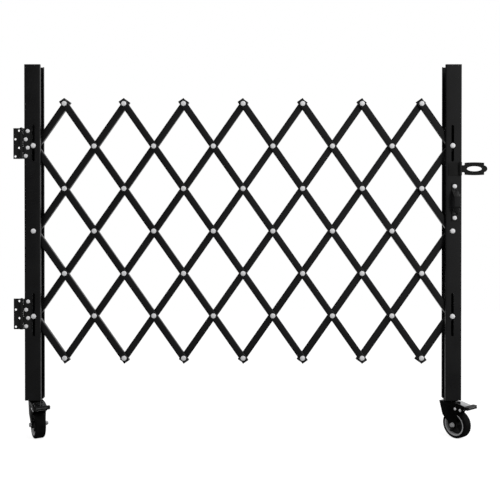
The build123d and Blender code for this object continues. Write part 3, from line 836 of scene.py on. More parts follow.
TAB_BLACK = Finish(
    "pedal_steel",
    (0.004, 0.004, 0.004),
    (0.008, 0.008, 0.008),
    0.35,
    0.5,
    specular=0.3,
    grain=0.6,
    patch=12.0,
    wear=0.3,
    name="pedal_tab_black",
)
RIM_PLASTIC = Finish(
    "rim_plastic", (0.34, 0.34, 0.345), (0.42, 0.42, 0.425), 0.35, 0.5, patch=20.0
)
# Painted shade: the web, moulded in the rim's plastic, is coloured near black to stand for the shade that
# falls in the deep-set web behind the rim and the fork leg.
WEB_PLASTIC_PAINTED_SHADE = Finish(
    "rim_plastic",
    (0.008, 0.008, 0.008),
    (0.016, 0.016, 0.016),
    0.45,
    0.6,
    specular=0.3,
    patch=20.0,
    name="web_plastic_painted_shade",
)
TYRE_RUBBER = Finish(
    "tyre_rubber",
    (0.0022, 0.0022, 0.0022),
    (0.004, 0.004, 0.004),
    0.55,
    0.7,
    specular=0.08,
    grain=0.6,
    relief=0.04,
    patch=15.0,
)


class Workshop:
    """Turns skins into finished pieces on the frame's bodies.

    An edge stays sharp past the crease, which is an angle in degrees.
    """

    crease: float = 35.0

    def __init__(self) -> None:
        """Reads which body each node rides on."""
        bodies = frame["record"]["behaviour"]["bodies"]
        self.body_of = {node: body for body, nodes in bodies.items() for node in nodes}
        self.effects = Effects()
        self.materials: dict[str, bpy.types.Material] = {}

    def paint(self, finish: Finish) -> bpy.types.Material:
        """The finish's material, built on its first use.

        Args:
            finish: Finish that is wanted.

        Returns:
            The material.
        """
        name = finish.name or finish.slot
        if name not in self.materials:
            self.materials[name] = finish.material(self.effects)
        return self.materials[name]

    def add(
        self,
        name: str,
        skin: Skin,
        finish: Finish,
        nodes: Sequence[str] = (),
        body: str = "",
        wall: float = 0.0,
        bevel: float = 0.0,
    ) -> bpy.types.Object:
        """Makes one piece and mounts it on its body.

        Args:
            name: Name of the piece.
            skin: Its points and faces.
            finish: Its finish.
            nodes: CAD nodes that it stands for.
            body: Body that it rides on, if it stands for no node.
            wall: Thickness to give an open skin, in millimetres.
            bevel: Radius of its edges, in millimetres.

        Returns:
            The finished object.
        """
        crease = math.radians(self.crease)
        mesh = bpy.data.meshes.new(name)
        faces = [*skin.quads.tolist(), *(cap.tolist() for cap in skin.caps)]
        mesh.from_pydata((skin.points * MM).tolist(), [], faces, shade_flat=False)
        mesh.validate()
        mesh.set_sharp_from_angle(angle=crease)
        mesh.materials.append(self.paint(finish))
        piece = bpy.data.objects.new(name, mesh)
        bpy.context.scene.collection.objects.link(piece)
        if wall:
            shell = piece.modifiers.new("wall", "SOLIDIFY")
            shell.thickness = wall * MM
            shell.offset = -1.0
            shell.use_even_offset = True
        if bevel:
            edge = piece.modifiers.new("edge", "BEVEL")
            edge.width = bevel * MM
            edge.segments = 2
            edge.angle_limit = crease
            edge.harden_normals = True
        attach(piece, self.body_of[nodes[0]] if nodes else body)
        if nodes:
            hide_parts(*nodes)
        LOG.info("%s: %d faces, stands for %s", name, len(faces), ", ".join(nodes) or "no node")
        return piece

    def repaint(self, finish: Finish, *nodes: str) -> None:
        """Gives CAD nodes that stay in view their finish.

        Args:
            finish: Finish that they get.
            *nodes: Names of the nodes.
        """
        for node in nodes:
            mesh = frame["nodes"][node].data
            mesh.materials.clear()
            mesh.materials.append(self.paint(finish))
            LOG.info("%s: kept as packed, finished in %s", node, finish.slot)


@dataclass(frozen=True)
class Layout:
    """Places that several sub-assemblies share, in millimetres of the row frame."""

    columns: int = 14
    rows: int = 6
    pitch: float = 170.0
    bar_angle: float = 54.96
    left_face_x: float = 21.7
    pivot_inset: float = 30.0
    middle_z: float = 270.0
    post_bottom_z: float = -283.8
    post_length: float = 1097.2
    post_depth: float = 50.0
    post_wall: float = 2.0
    caster_inset: float = 31.0
    floor_z: float = -405.0

    @property
    def left_pivot_x(self) -> float:
        """First column of pivots, on the hinge post."""
        return self.left_face_x + self.pivot_inset

    @property
    def right_pivot_x(self) -> float:
        """Last column of pivots, on the free post."""
        return self.left_pivot_x + self.columns * self.pitch * math.cos(math.radians(self.bar_angle))

    @property
    def right_face_x(self) -> float:
        """Outer face of the free post."""
        return self.right_pivot_x + self.pivot_inset

    def pivot(self, column: int, row: int) -> tuple[float, float]:
        """Place of one pivot as x and z.

        Args:
            column: Column of pivots, from the left.
            row: Row of pivots, from the top.

        Returns:
            Its x and z.
        """
        angle = math.radians(self.bar_angle)
        x = self.left_pivot_x + column * self.pitch * math.cos(angle)
        return x, self.middle_z + (self.rows / 2 - row) * self.pitch * math.sin(angle)

    def front_pivots(self, offset: int) -> list[tuple[int, int]]:
        """Pivots of the front bar whose column less its row is offset."""
        return [(k, k - offset) for k in range(self.columns + 1) if 0 <= k - offset <= self.rows]

    def rear_pivots(self, total: int) -> list[tuple[int, int]]:
        """Pivots of the rear bar whose column and row add up to total."""
        return [(k, total - k) for k in range(self.columns + 1) if 0 <= total - k <= self.rows]

    def front_bars(self) -> list[tuple[str, list[tuple[int, int]]]]:
        """Node and pivots of each front bar, from the left."""
        offsets = range(1 - self.rows, self.columns, 2)
        return [(f"front_bar_{n:02d}", self.front_pivots(offset)) for n, offset in enumerate(offsets, 1)]

    def rear_bars(self) -> list[tuple[str, list[tuple[int, int]]]]:
        """Node and pivots of each rear bar, from the left."""
        totals = range(1, self.columns + self.rows, 2)
        return [(f"rear_bar_{n:02d}", self.rear_pivots(total)) for n, total in enumerate(totals, 1)]

    def at_post(self, column: int) -> bool:
        """Whether a column of pivots is carried by a post."""
        return column in (0, self.columns)


@dataclass(frozen=True)
class Lattice:
    """Rolled channel bars in two crossing layers."""

    layout: Layout
    width: float = 22.0
    depth: float = 13.5
    wall: float = 1.5
    corner: float = 2.5
    end: float = 15.0
    front_y: float = 12.0
    rear_y: float = 26.5
    lip: float = 0.35

    def section(self) -> Array:
        """Channel section: depth behind the web, and height across the bar.

        Returns:
            The closed section, as u across the layers and v across the bar.
        """
        half, inner, low = self.width / 2, self.width / 2 - self.wall, self.wall
        outer = [(self.depth, -half), (0.0, -half), (0.0, half), (self.depth, half)]
        hollow = [(self.depth, inner), (low, inner), (low, -inner), (self.depth, -inner)]
        radii = np.array([self.lip, self.corner, self.corner, self.lip] * 2)
        radii[5:7] = self.corner - self.wall
        return rounded(np.array(outer + hollow), radii, steps=5)

    def bar(self, pivots: list[tuple[int, int]], web_y: float) -> Skin:
        """One bar through its pivots, with its web at web_y.

        Args:
            pivots: Pivots of the bar, from one end to the other.
            web_y: Front of the bar's web.

        Returns:
            The bar.
        """
        ends = np.array([self.layout.pivot(*pivots[0]), self.layout.pivot(*pivots[-1])])
        way = (ends[1] - ends[0]) / np.linalg.norm(ends[1] - ends[0])
        ends = ends + np.outer([-self.end, self.end], way)
        path = np.stack([ends[:, 0], np.full(2, web_y), ends[:, 1]], -1)
        return sweep(self.section(), path, BACKWARD)

    def dress(self, shop: Workshop) -> None:
        """Builds and finishes every bar of both layers.

        Args:
            shop: Workshop that finishes the pieces.
        """
        layout = self.layout
        for bars, web_y in ((layout.front_bars(), self.front_y), (layout.rear_bars(), self.rear_y)):
            for node, pivots in bars:
                shop.add(f"{node}_channel", self.bar(pivots, web_y), POWDER_COAT, (node,))


@dataclass(frozen=True)
class PivotHardware:
    """Lattice rivets with sleeves, and post bolts with spacers and flanged nuts."""

    lattice: Lattice
    rivet_radius: float = 3.0
    rivet_head: float = 8.2
    rivet_height: float = 3.0
    rivet_lip: float = 0.7
    tail_radius: float = 5.5
    tail_height: float = 2.5
    tail_curl: float = 1.6
    bolt_radius: float = 4.0
    bolt_height: float = 4.5
    bolt_lip: float = 1.0
    nut_radius: float = 6.5
    nut_height: float = 7.0
    flange_radius: float = 8.5
    flange_height: float = 1.5
    bolt_tail: float = 2.5
    thread_count: int = 9
    sleeve_wall: float = 2.2
    sleeve_gap: float = 0.1
    slide: float = 0.05
    around: int = 28

    def sleeve(self, place: Place, inner: float, front_y: float, rear_y: float) -> Skin:
        """Plain spacer with eased rims.

        Args:
            place: Where its axis stands.
            inner: Radius of what it sits on.
            front_y: Its front end.
            rear_y: Its rear end.

        Returns:
            The spacer.
        """
        bore = inner + self.sleeve_gap
        profile = box_outline(self.sleeve_wall, rear_y - front_y, BREAK, 3)
        profile = profile + [bore + self.sleeve_wall / 2, (front_y + rear_y) / 2]
        return lathe(profile, place, 24, End.LOOP)

    def rivet(self, x: float, z: float) -> Skin:
        """Domed head, shank and rolled tail of one rivet, with its sleeve.

        Formula: the tail's roll is R - curl (1 - cos t) wide and rises by sin t over half a
        turn.

        Args:
            x: Where it stands along the gate.
            z: Its height.

        Returns:
            The rivet and its sleeve.
        """
        lattice, place = self.lattice, through(x, z)
        front, back, rise = lattice.front_y, lattice.rear_y + lattice.wall, self.tail_height
        head = domed(self.rivet_head, self.rivet_height, self.rivet_lip) * [1, -1] + [0, front]
        t = np.linspace(0, 1, 6) * np.pi
        width = self.tail_radius - self.tail_curl * (1 - np.cos(t))
        rolled = np.stack([width, back + rise * (0.35 + 0.65 * np.sin(t))], -1)
        shank = [(self.rivet_radius, front), (self.rivet_radius, back)]
        tail = [(self.tail_radius, back), *rolled, (0.6, back + rise * 0.3)]
        body = lathe(np.vstack([head, shank, tail]), place, self.around)
        return body + self.sleeve(place, self.rivet_radius, front + lattice.wall, lattice.rear_y)

    def bolt(self, x: float, z: float) -> Skin:
        """Post bolt with its three spacers, its nut and the thread past it.

        Args:
            x: Where it stands along the gate.
            z: Its height.

        Returns:
            The bolt with what is on it.
        """
        lattice, place, radius = self.lattice, through(x, z), self.bolt_radius
        depth, wall = lattice.layout.post_depth, lattice.layout.post_wall
        front, rear, slide = lattice.front_y, lattice.rear_y, self.slide
        head = domed(self.rivet_head, self.bolt_height - slide, self.bolt_lip) * [1, -1] - [0, slide]
        start = depth + self.nut_height
        end = start + self.bolt_tail
        shank = [(radius, 0.0), (radius, start - 0.2)]
        ridges = thread(radius, start, end - 0.5, self.thread_count)
        nut = flanged_nut(
            through(x, z, depth + slide),
            self.nut_radius,
            self.nut_height - slide,
            self.flange_radius,
            self.flange_height,
        )
        behind = rear + lattice.wall
        spans = ((wall + slide, front), (front + lattice.wall, rear), (behind, depth - wall - slide))
        return joined(
            [
                lathe(np.vstack([head, shank, ridges, [(radius - 0.8, end)]]), place, self.around),
                nut,
                *(self.sleeve(place, radius, low, high) for low, high in spans),
            ]
        )

    def dress(self, shop: Workshop) -> None:
        """Builds and plates the hardware that each front bar carries.

        Args:
            shop: Workshop that finishes the pieces.
        """
        layout = self.lattice.layout
        for bar, pivots in layout.front_bars():
            node = f"{bar}_rivets"
            skins = [
                (self.bolt if layout.at_post(column) else self.rivet)(*layout.pivot(column, row))
                for column, row in pivots
            ]
            shop.add(f"{node}_turned", joined(skins), ZINC, (node,))


@dataclass(frozen=True)
class Posts:
    """Roll-formed lipped channels, with slots for the sliding bolts in both flanges."""

    layout: Layout
    width: float = 52.5
    lip: float = 8.0
    corner: float = 3.0
    corner_points: int = 6
    edge: float = 0.3
    slot_half: float = 4.25
    slot_points: int = 11
    slots: tuple[tuple[float, float], ...] = ((496.7, 616.15), (-74.15, 67.25))

    def columns_of_slot(self) -> Array:
        """Distances across the slot, spaced as the cosine so that its ends come out round."""
        return self.slot_half * np.cos(np.linspace(np.pi, 0, self.slot_points))

    def outline(self) -> tuple[Array, Array]:
        """Section from lip to lip, with a row of points across each slot.

        Returns:
            The points, and each one's distance from the slot's middle line, which is endless
            away from the slots.
        """
        depth, inset, across = self.layout.post_depth, self.layout.pivot_inset, self.columns_of_slot()
        corners = np.array(
            [(self.width, self.lip), (self.width, 0), (0, 0), (0, depth), (self.width, depth)]
            + [(self.width, depth - self.lip)]
        )
        line = rounded(corners, self.corner, closed=False, steps=self.corner_points)
        front = np.stack([inset - across, np.zeros(len(across))], -1)
        rear = np.stack([inset + across, np.full(len(across), depth)], -1)
        lip, web, far_lip = np.split(line, [1 + self.corner_points, -1 - self.corner_points])
        clear, away = np.full(len(lip), np.inf), np.full(len(web), np.inf)
        offset = np.concatenate([clear, across, away, across, clear])
        return np.vstack([lip, front, web, rear, far_lip]), offset

    def shell(self, face_x: float, side: int) -> Skin:
        """Open skin of one post, its slots left out.

        Formula: point (i, j) = (face + side u_j, y_j, z_i). Inside a slot's width the two
        rows that bound it bow out by the root of r^2 - d^2, with d the distance from its
        middle line, and the faces between these rows are left out.

        Args:
            face_x: Outer face of the web.
            side: 1 if the post opens to the right, -1 if to the left.

        Returns:
            The skin, facing out.
        """
        layout = self.layout
        section, offset = self.outline()
        inside = np.abs(offset) <= self.slot_half
        within = np.where(inside, offset, self.slot_half)
        rise = np.sqrt(np.clip(self.slot_half**2 - within**2, 0, None))
        rows = [np.full(len(section), layout.post_bottom_z)]
        for low, high in sorted(self.slots):
            rows += [low + self.slot_half - rise, high - self.slot_half + rise]
        rows.append(np.full(len(section), layout.post_bottom_z + layout.post_length))
        heights = np.stack(rows)
        flat = np.stack([face_x + side * section[:, 0], section[:, 1]], -1)
        points = np.concatenate([np.broadcast_to(flat, (len(rows), *flat.shape)), heights[..., None]], 2)
        count = len(section)
        i, j = np.meshgrid(np.arange(len(rows) - 1), np.arange(count - 1), indexing="ij")
        keep = ~((i % 2 == 1) & inside[j] & inside[j + 1])
        here = (i * count + j)[keep]
        quads = np.stack([here, here + 1, here + count + 1, here + count], -1)
        return Skin(points.reshape(-1, 3), quads if side < 0 else quads[:, ::-1])

    def dress(self, shop: Workshop) -> None:
        """Builds and coats both posts.

        Args:
            shop: Workshop that finishes the pieces.
        """
        for node, face_x, side in (
            ("left_post", self.layout.left_face_x, 1),
            ("right_post", self.layout.right_face_x, -1),
        ):
            shell = self.shell(face_x, side)
            wall, edge = self.layout.post_wall, self.edge
            shop.add(f"{node}_rolled", shell, POWDER_COAT, (node,), wall=wall, bevel=edge)


@dataclass(frozen=True)
class Hinges:
    """Two butt hinges: packed leaves, turned pins and domed screws."""

    pin_x: float = 14.5
    pin_y: float = -5.0
    heights: tuple[float, float] = (0.0, 555.0)
    leaf_height: float = 100.0
    leaf: float = 2.0
    pin_radius: float = 2.5
    head_radius: float = 4.2
    head_height: float = 2.2
    head_lip: float = 0.6
    screw_pitch: float = 27.0
    screw_columns: tuple[float, float] = (19.9, 13.4)
    screw_head: float = 6.5
    screw_height: float = 2.8
    screw_radius: float = 2.5
    screw_end: float = 8.0
    tip: float = 0.5
    barrel: float = 5.0
    lip_start: float = 4.4
    lip_reach: float = 1.0
    knuckle_count: int = 5

    def pin(self, middle_z: float) -> Skin:
        """Hinge pin with its domed head on top.

        Args:
            middle_z: Height of the hinge's middle.

        Returns:
            The pin.
        """
        half, radius, lip = self.leaf_height / 2, self.pin_radius, self.head_lip
        head = domed(self.head_radius, self.head_height, lip) + [0, middle_z + half]
        shank = [(radius, middle_z + half), (radius, middle_z - half + lip)]
        profile = np.vstack([head, shank, [(radius - lip, middle_z - half)]])
        return lathe(profile, upright(self.pin_x, self.pin_y), 24)

    def screw(self, x: float, z: float) -> Skin:
        """Domed screw of a post leaf.

        Args:
            x: Where it stands along the gate.
            z: Its height.

        Returns:
            The screw.
        """
        radius, end, tip = self.screw_radius, self.screw_end, self.tip
        head = domed(self.screw_head, self.screw_height, tip) * [1, -1] - [0, self.leaf]
        shank = [(radius, -self.leaf), (radius, end - tip), (radius - tip, end)]
        return lathe(np.vstack([head, shank]), through(x, z), 28)

    def screws(self) -> Skin:
        """All the screws, in two staggered columns on each leaf.

        Returns:
            The eight screws as one skin.
        """
        columns = self.screw_columns * 2
        top = (len(columns) - 1) / 2 * self.screw_pitch
        return joined(
            [
                self.screw(self.pin_x + column, middle + top - index * self.screw_pitch)
                for middle in self.heights
                for index, column in enumerate(columns)
            ]
        )

    def leaf_lips(self, middle_z: float) -> Skin:
        """Lips that carry the post leaf up to the barrel beside the wall leaf's knuckles.

        Args:
            middle_z: Height of the hinge's middle.

        Returns:
            The lips, one beside every second knuckle.
        """
        tall = self.leaf_height / self.knuckle_count
        width = self.barrel - self.lip_start + self.lip_reach
        outline = box_outline(width, tall - self.head_lip, 0.2, 2)
        start, lowest = self.pin_x + self.lip_start + width / 2, middle_z - self.leaf_height / 2 + tall / 2
        spots = [lowest + index * tall for index in range(0, self.knuckle_count, 2)]
        return joined([plate(outline, self.leaf, through(start, z, -self.leaf), 0.1) for z in spots])

    def dress(self, shop: Workshop) -> None:
        """Finishes the leaves and builds the pins and screws.

        Args:
            shop: Workshop that finishes the pieces.
        """
        for name, middle_z in zip(("lower", "upper"), self.heights):
            shop.add(f"{name}_leaf_lips", self.leaf_lips(middle_z), HINGE_BLACK, body="hinge_post")
            shop.repaint(HINGE_BLACK, f"{name}_wall_leaf", f"{name}_post_leaf")
            shop.add(f"{name}_hinge_pin_turned", self.pin(middle_z), HINGE_BLACK, (f"{name}_hinge_pin",))
        shop.add("hinge_screws_turned", self.screws(), ZINC, ("hinge_screws",))


@dataclass(frozen=True)
class PullHandle:
    """Bent strap handle with its two bolts."""

    layout: Layout
    x: float = 1424.1
    z: float = 364.3
    bolt_spacing: float = 103.0
    foot_end: float = 10.0
    base_span: float = 80.0
    grip_span: float = 33.0
    reach: float = 34.0
    width: float = 20.0
    strap: float = 3.0
    bend: float = 5.0
    bolt_head: float = 7.0
    bolt_height: float = 3.2
    bolt_lip: float = 0.7
    bolt_radius: float = 3.0
    nut_radius: float = 5.0
    nut_height: float = 4.5

    def bent_strap(self) -> Skin:
        """Strap carried over its bent middle line.

        Returns:
            The strap.
        """
        near, far = -self.strap / 2, self.strap / 2 - self.reach
        end = self.bolt_spacing / 2 + self.foot_end
        half = [(near, end), (near, self.base_span / 2), (far, self.grip_span / 2)]
        line = [(y, -z) for y, z in half] + [(y, z) for y, z in half[::-1]]
        corners = np.array([(self.x, y, self.z + z) for y, z in line])
        path = rounded(corners, self.bend, closed=False, steps=8)
        return sweep(box_outline(self.width, self.strap, 0.9, 4), path, ALONG, 0.6)

    def bolt(self, side: int) -> Skin:
        """One bolt with its domed head and its nut inside the post.

        Args:
            side: 1 for the upper bolt, -1 for the lower one.

        Returns:
            The bolt and its nut.
        """
        place = through(self.x, self.z + side * self.bolt_spacing / 2)
        radius, low = self.bolt_radius, self.layout.post_wall
        high = low + self.nut_height
        head = domed(self.bolt_head, self.bolt_height, self.bolt_lip) * [1, -1] - [0, self.strap]
        shank = [(radius, -self.strap), (radius, high - BREAK), (radius - 0.4, high)]
        nut = plain_nut(place, self.nut_radius, (low, low + BREAK, high - 0.5, high))
        return lathe(np.vstack([head, shank]), place, 28) + nut

    def dress(self, shop: Workshop) -> None:
        """Builds and finishes the strap and the bolts.

        Args:
            shop: Workshop that finishes the pieces.
        """
        shop.add("pull_handle_bent", self.bent_strap(), POWDER_COAT, ("pull_handle",))
        shop.add("handle_bolts_turned", self.bolt(-1) + self.bolt(1), ZINC, ("handle_bolts",))


@dataclass(frozen=True)
class Hasp:
    """Hasp with a base plate, a slotted arm and their pin."""

    layout: Layout
    z: float = 473.0
    pin_inset: float = 6.0
    pin_y: float = -4.8
    pin_radius: float = 2.2
    pin_tip: float = 1.5
    barrel: float = 4.5
    bore: float = 2.3
    tip: float = 0.75
    thickness: float = 2.0
    slide: float = 0.05
    gap: float = 0.3
    base_width: float = 45.0
    base_height: float = 43.0
    neck_height: float = 23.5
    neck_length: float = 8.4
    body_length: float = 63.6
    body_height: float = 39.0
    bulge: float = 1.5
    nose_length: float = 10.3
    nose_radius: float = 10.8
    slot: tuple[float, float] = (24.25, 8.25)
    rim_width: float = 3.0
    rim_height: float = 1.0
    rim_front: float = -2.8
    rim_inset: float = 0.4
    fillet: float = 3.0

    @property
    def pin_x(self) -> float:
        """Line of the hinge pin."""
        return self.layout.right_face_x - self.pin_inset

    def knuckle(self, low: float, high: float) -> Skin:
        """Rolled barrel between two heights, measured from the middle of the hasp.

        Args:
            low: Its low end.
            high: Its high end.

        Returns:
            The barrel.
        """
        section = box_outline(self.barrel - self.bore, high - low, 0.3, 3)
        profile = section + [(self.barrel + self.bore) / 2, (low + high) / 2]
        return lathe(profile, upright(self.pin_x, self.pin_y, self.z), 32, End.LOOP)

    def base(self) -> Skin:
        """Base plate, notched for the arm's barrel, with a barrel above and below.

        Returns:
            The plate and its two barrels.
        """
        half, neck = self.base_height / 2, self.neck_height / 2
        right = self.layout.right_face_x
        left, notch = right - self.base_width, self.pin_x - self.barrel - self.gap
        corners = np.array(
            [(left, -half), (right, -half), (right, -neck), (notch, -neck)]
            + [(notch, neck), (right, neck), (right, half), (left, half)]
        )
        radii = np.array([2.0, 0.6, 0.4, 0.6, 0.6, 0.4, 0.6, 2.0])
        outline = rounded(corners, radii, steps=4)
        sheet = plate(outline, self.thickness, through(0, self.z, -self.thickness))
        return joined([sheet, self.knuckle(-half, -neck), self.knuckle(neck, half)])

    def blade_outline(self) -> Array:
        """Outline of the arm about the middle of its slot.

        Formula: the top edge of the body rises by bulge (1 - (x / half)^2), and the nose is
        an arc about its own centre; the lower half mirrors the upper one.

        Returns:
            The points, clockwise from the root.
        """
        half, top, neck = self.body_length / 2, self.body_height / 2, self.neck_height / 2
        start = self.pin_x - self.layout.right_face_x - self.neck_length - half
        x = np.linspace(-half, half, 21)
        body = np.stack([x, top + self.bulge * (1 - (x / half) ** 2)], -1)
        nose = half + self.nose_length - self.nose_radius
        angles = np.linspace(np.arccos((half - nose) / self.nose_radius), 0, 13)
        tip = np.stack([np.cos(angles), np.sin(angles)], -1) * self.nose_radius + [nose, 0]
        throat = np.linspace(0, np.pi / 2, 5)[:, None]
        flare = np.hstack([np.sin(throat), 1 - np.cos(throat)]) * self.fillet
        root = flare + [-half - self.fillet, neck - self.gap / 2]
        upper = np.vstack([[(start, neck - self.gap / 2)], root, body, tip[:-1]])
        lower = upper[::-1] * [1, -1]
        return np.vstack([upper, [(half + self.nose_length, 0.0)], lower])

    def arm(self) -> Skin:
        """Slotted arm with a raised rim round its slot and its barrel.

        Returns:
            The arm.
        """
        middle = self.layout.right_face_x + self.neck_length + self.body_length / 2
        outline = along_outline(self.blade_outline(), 120)
        hole = oval_beside(outline, *self.slot)
        lying = through(middle, self.z, -self.thickness)
        blade = ring_plate(outline, hole, self.thickness - self.slide, lying)
        angles = np.linspace(0, 2 * np.pi, 96, endpoint=False)
        ring = np.stack([np.cos(angles), np.sin(angles)], -1)
        outer, inner = (ring * (np.array(self.slot) + grown) for grown in (self.rim_width, self.rim_inset))
        rim = ring_plate(outer, inner, self.rim_height, through(middle, self.z, self.rim_front), 0.45)
        neck = self.neck_height / 2 - self.gap / 2
        return joined([blade, rim, self.knuckle(-neck, neck)])

    def pin(self) -> Skin:
        """Hinge pin with chamfered tips.

        Returns:
            The pin.
        """
        end = self.base_height / 2 + self.pin_tip
        rows = [(self.pin_radius - self.tip, end), (self.pin_radius, end - self.tip)]
        profile = np.array(rows + [(r, -z) for r, z in rows[::-1]])
        return lathe(profile, upright(self.pin_x, self.pin_y, self.z), 24)

    def dress(self, shop: Workshop) -> None:
        """Builds and finishes the three pieces.

        Args:
            shop: Workshop that finishes the pieces.
        """
        shop.add("hasp_base_folded", self.base(), HINGE_BLACK, ("hasp_base",))
        shop.add("hasp_arm_pressed", self.arm(), HINGE_BLACK, ("hasp_arm",))
        shop.add("hasp_pin_turned", self.pin(), HINGE_BLACK, ("hasp_pin",))


@dataclass(frozen=True)
class Caster:
    """One swivel caster.

    Its places are u, from the swivel axis to the axle, v, above the floor, and w, along the
    axle to the near side.
    """

    layout: Layout
    name: str
    swivel_x: float
    heading: float
    nut_side: int
    trail: float = 28.0
    wheel_radius: float = 45.0
    wheel_width: float = 34.0
    tyre: float = 8.5
    tyre_points: int = 192
    shoulder: float = 6.0
    notch_count: int = 48
    notch_depth: float = 0.9
    notch_start: float = 8.0
    notch_fade: float = 6.0
    rim: float = 5.0
    rim_inset: float = 1.0
    rim_roll: float = 1.6
    web: float = 6.0
    boss_radius: float = 12.0
    boss_proud: float = 1.5
    bore_gap: float = 0.05
    spoke_count: int = 5
    spoke_width: float = 7.0
    spoke_inset: float = 5.0
    spoke_root: float = 2.5
    leg: float = 3.0
    leg_start: float = 18.8
    panel: tuple[tuple[float, float], ...] = (
        (-12.0, 104.0),
        (20.0, 104.0),
        (32.0, 84.0),
        (30.0, 62.0),
        (21.0, 62.0),
    )
    panel_height: float = 1.0
    sunk: float = 0.4
    washer: tuple[float, float] = (7.0, 11.2)
    washer_height: float = 0.9
    axle_radius: float = 5.0
    axle_flats: float = 6.27
    axle_flange: float = 7.6
    axle_rim: float = 1.8
    axle_reach: float = 10.0
    axle_tail: float = 2.5
    thread_count: int = 7
    weld_size: float = 1.5
    weld_inset: float = 6.0
    weld_depth: float = 2.6
    plate_width: float = 38.0
    plate_depth: float = 47.0
    plate_top: float = 121.2
    plate_bottom: float = 118.7
    race_radius: float = 18.5
    race_bottom: float = 117.2
    crown_radius: float = 20.0
    crown_bottom: float = 114.9
    crown_top: float = 116.9
    king_radius: float = 5.0
    king_head: tuple[float, float, float] = (9.0, 105.9, 111.6)
    king_nut: tuple[float, float] = (8.5, 8.0)
    fork_plate: tuple[float, float] = (-26.0, 32.0)
    ear: tuple[float, float, float] = (64.0, 107.9, 96.9)
    throat: tuple[float, float] = (43.0, 86.0)
    waist: tuple[float, float] = (-13.0, 70.65)
    pins: tuple[tuple[float, float], ...] = ((37.0, 98.8), (56.0, 98.0))
    pin_radius: float = 3.0
    pin_head: float = 4.4
    pin_head_height: float = 1.8
    pin_lip: float = 0.4
    pedal: float = 2.5
    pedal_half: float = 17.5
    pedal_path: tuple[tuple[float, float], ...] = ((34.0, 118.5), (72.0, 112.5), (88.0, 111.0))
    pedal_bend: float = 8.0
    tab_half: float = 27.0
    tab_heights: tuple[float, float] = (103.5, 110.0)
    cover_height: float = 1.2
    grip_count: int = 4
    grip_width: float = 1.6
    grip_height: float = 0.9
    grip_margin: float = 4.5
    cheek: float = 2.0
    shoe: tuple[tuple[float, float], ...] = ((41.0, 90.5), (52.0, 90.5), (52.0, 94.25), (45.0, 98.0))

    def roll(self) -> Array:
        """Unit way in which the wheel trails."""
        angle = math.radians(self.heading)
        return np.array([math.sin(angle), -math.cos(angle), 0.0])

    def ground(self) -> Array:
        """Point on the floor under the swivel axis."""
        return np.array([self.swivel_x, self.layout.post_depth / 2, self.layout.floor_z])

    def side(self, u: float = 0.0, v: float = 0.0, w: float = 0.0, facing: int = 1) -> Place:
        """Place at u, v and w whose third axis is the axle's, to the near or the far side.

        Args:
            u: Way from the swivel axis to the axle.
            v: Height above the floor.
            w: Way along the axle to the near side.
            facing: 1 for a third axis to the near side, -1 to the far side.

        Returns:
            The place.
        """
        roll = self.roll()
        axle = np.cross(roll, UPWARD)
        spot = self.ground() + u * roll + v * UPWARD + w * axle
        return Place(spot, roll, UPWARD, facing * axle)

    def hub(self, w: float = 0.0, facing: int = 1) -> Place:
        """Place on the wheel's axis at w, with the axle's way as its third axis."""
        return self.side(self.trail, self.wheel_radius, w, facing)

    def level(self, u: float = 0.0, v: float = 0.0) -> Place:
        """Place at u and v whose third axis is upright.

        Args:
            u: Way from the swivel axis to the axle.
            v: Height above the floor.

        Returns:
            The place.
        """
        roll = self.roll()
        spot = self.ground() + u * roll + v * UPWARD
        return Place(spot, roll, np.cross(UPWARD, roll), UPWARD)

    def tread(self) -> Skin:
        """Tyre with rounded shoulders and shallow side notches.

        Formula: the section is a rounded rectangle turned round the axle, and its radius
        loses up to the notches' depth where cos(count a) is above 0.2, which fades towards the
        middle of the tread.

        Returns:
            The tyre.
        """
        around, middle = self.tyre_points, self.wheel_radius - self.tyre / 2
        corners = np.array([(-1, -1), (1, -1), (1, 1), (-1, 1)]) * [self.tyre / 2, self.wheel_width / 2]
        section = rounded(corners, np.array([0.5, self.shoulder, self.shoulder, 0.5]), steps=7)
        profile = section + [middle, 0]
        angles = np.linspace(0, 2 * np.pi, around, endpoint=False)
        beside = np.clip((np.abs(profile[:, 1:]) - self.notch_start) / self.notch_fade, 0, 1)
        notch = np.clip(np.cos(self.notch_count * angles) - 0.2, 0, 1)
        swell = 1 - self.notch_depth * beside * (section[:, :1] > 0) * notch / profile[:, :1]
        return lathe(profile, self.hub(), around, End.LOOP, swell)

    def rim_ring(self) -> Skin:
        """Bright rim of the hub, rolled over at both edges.

        Returns:
            The rim.
        """
        outer, half = self.wheel_radius - self.tyre, self.wheel_width / 2 - self.rim_inset
        section = box_outline(self.rim, 2 * half, self.rim_roll, 5) + [outer - self.rim / 2, 0]
        return lathe(section, self.hub(), 96, End.LOOP)

    def web_disc(self) -> Skin:
        """Dished web with its spokes and its boss.

        Returns:
            The web.
        """
        place, half = self.hub(), self.wheel_width / 2 - self.rim_inset
        boss, bore = self.wheel_width / 2 + self.boss_proud, self.axle_radius + self.bore_gap
        reach = self.wheel_radius - self.tyre - self.rim + 0.5
        corners = np.array(
            [(bore, boss), (self.boss_radius - 1, boss), (self.boss_radius + 0.5, self.web / 2)]
            + [(reach, self.web / 2), (reach, -self.web / 2), (self.boss_radius + 0.5, -self.web / 2)]
            + [(self.boss_radius - 1, -boss), (bore, -boss)]
        )
        disc = rounded(corners, np.array([0.5, 1.0, 1.6, 0.3, 0.3, 1.6, 1.0, 0.5]), steps=4)
        parts = [lathe(disc, place, 72, End.LOOP)]
        section = box_outline(2 * (half - self.spoke_inset), self.spoke_width, 1.4, 4)
        for index in range(self.spoke_count):
            angle = math.radians(90 + 360 / self.spoke_count * index)
            way = math.cos(angle) * place.first + math.sin(angle) * UPWARD
            path = place.origin + np.outer([self.boss_radius - self.spoke_root, reach], way)
            parts.append(sweep(section, path, place.third))
        return joined(parts)

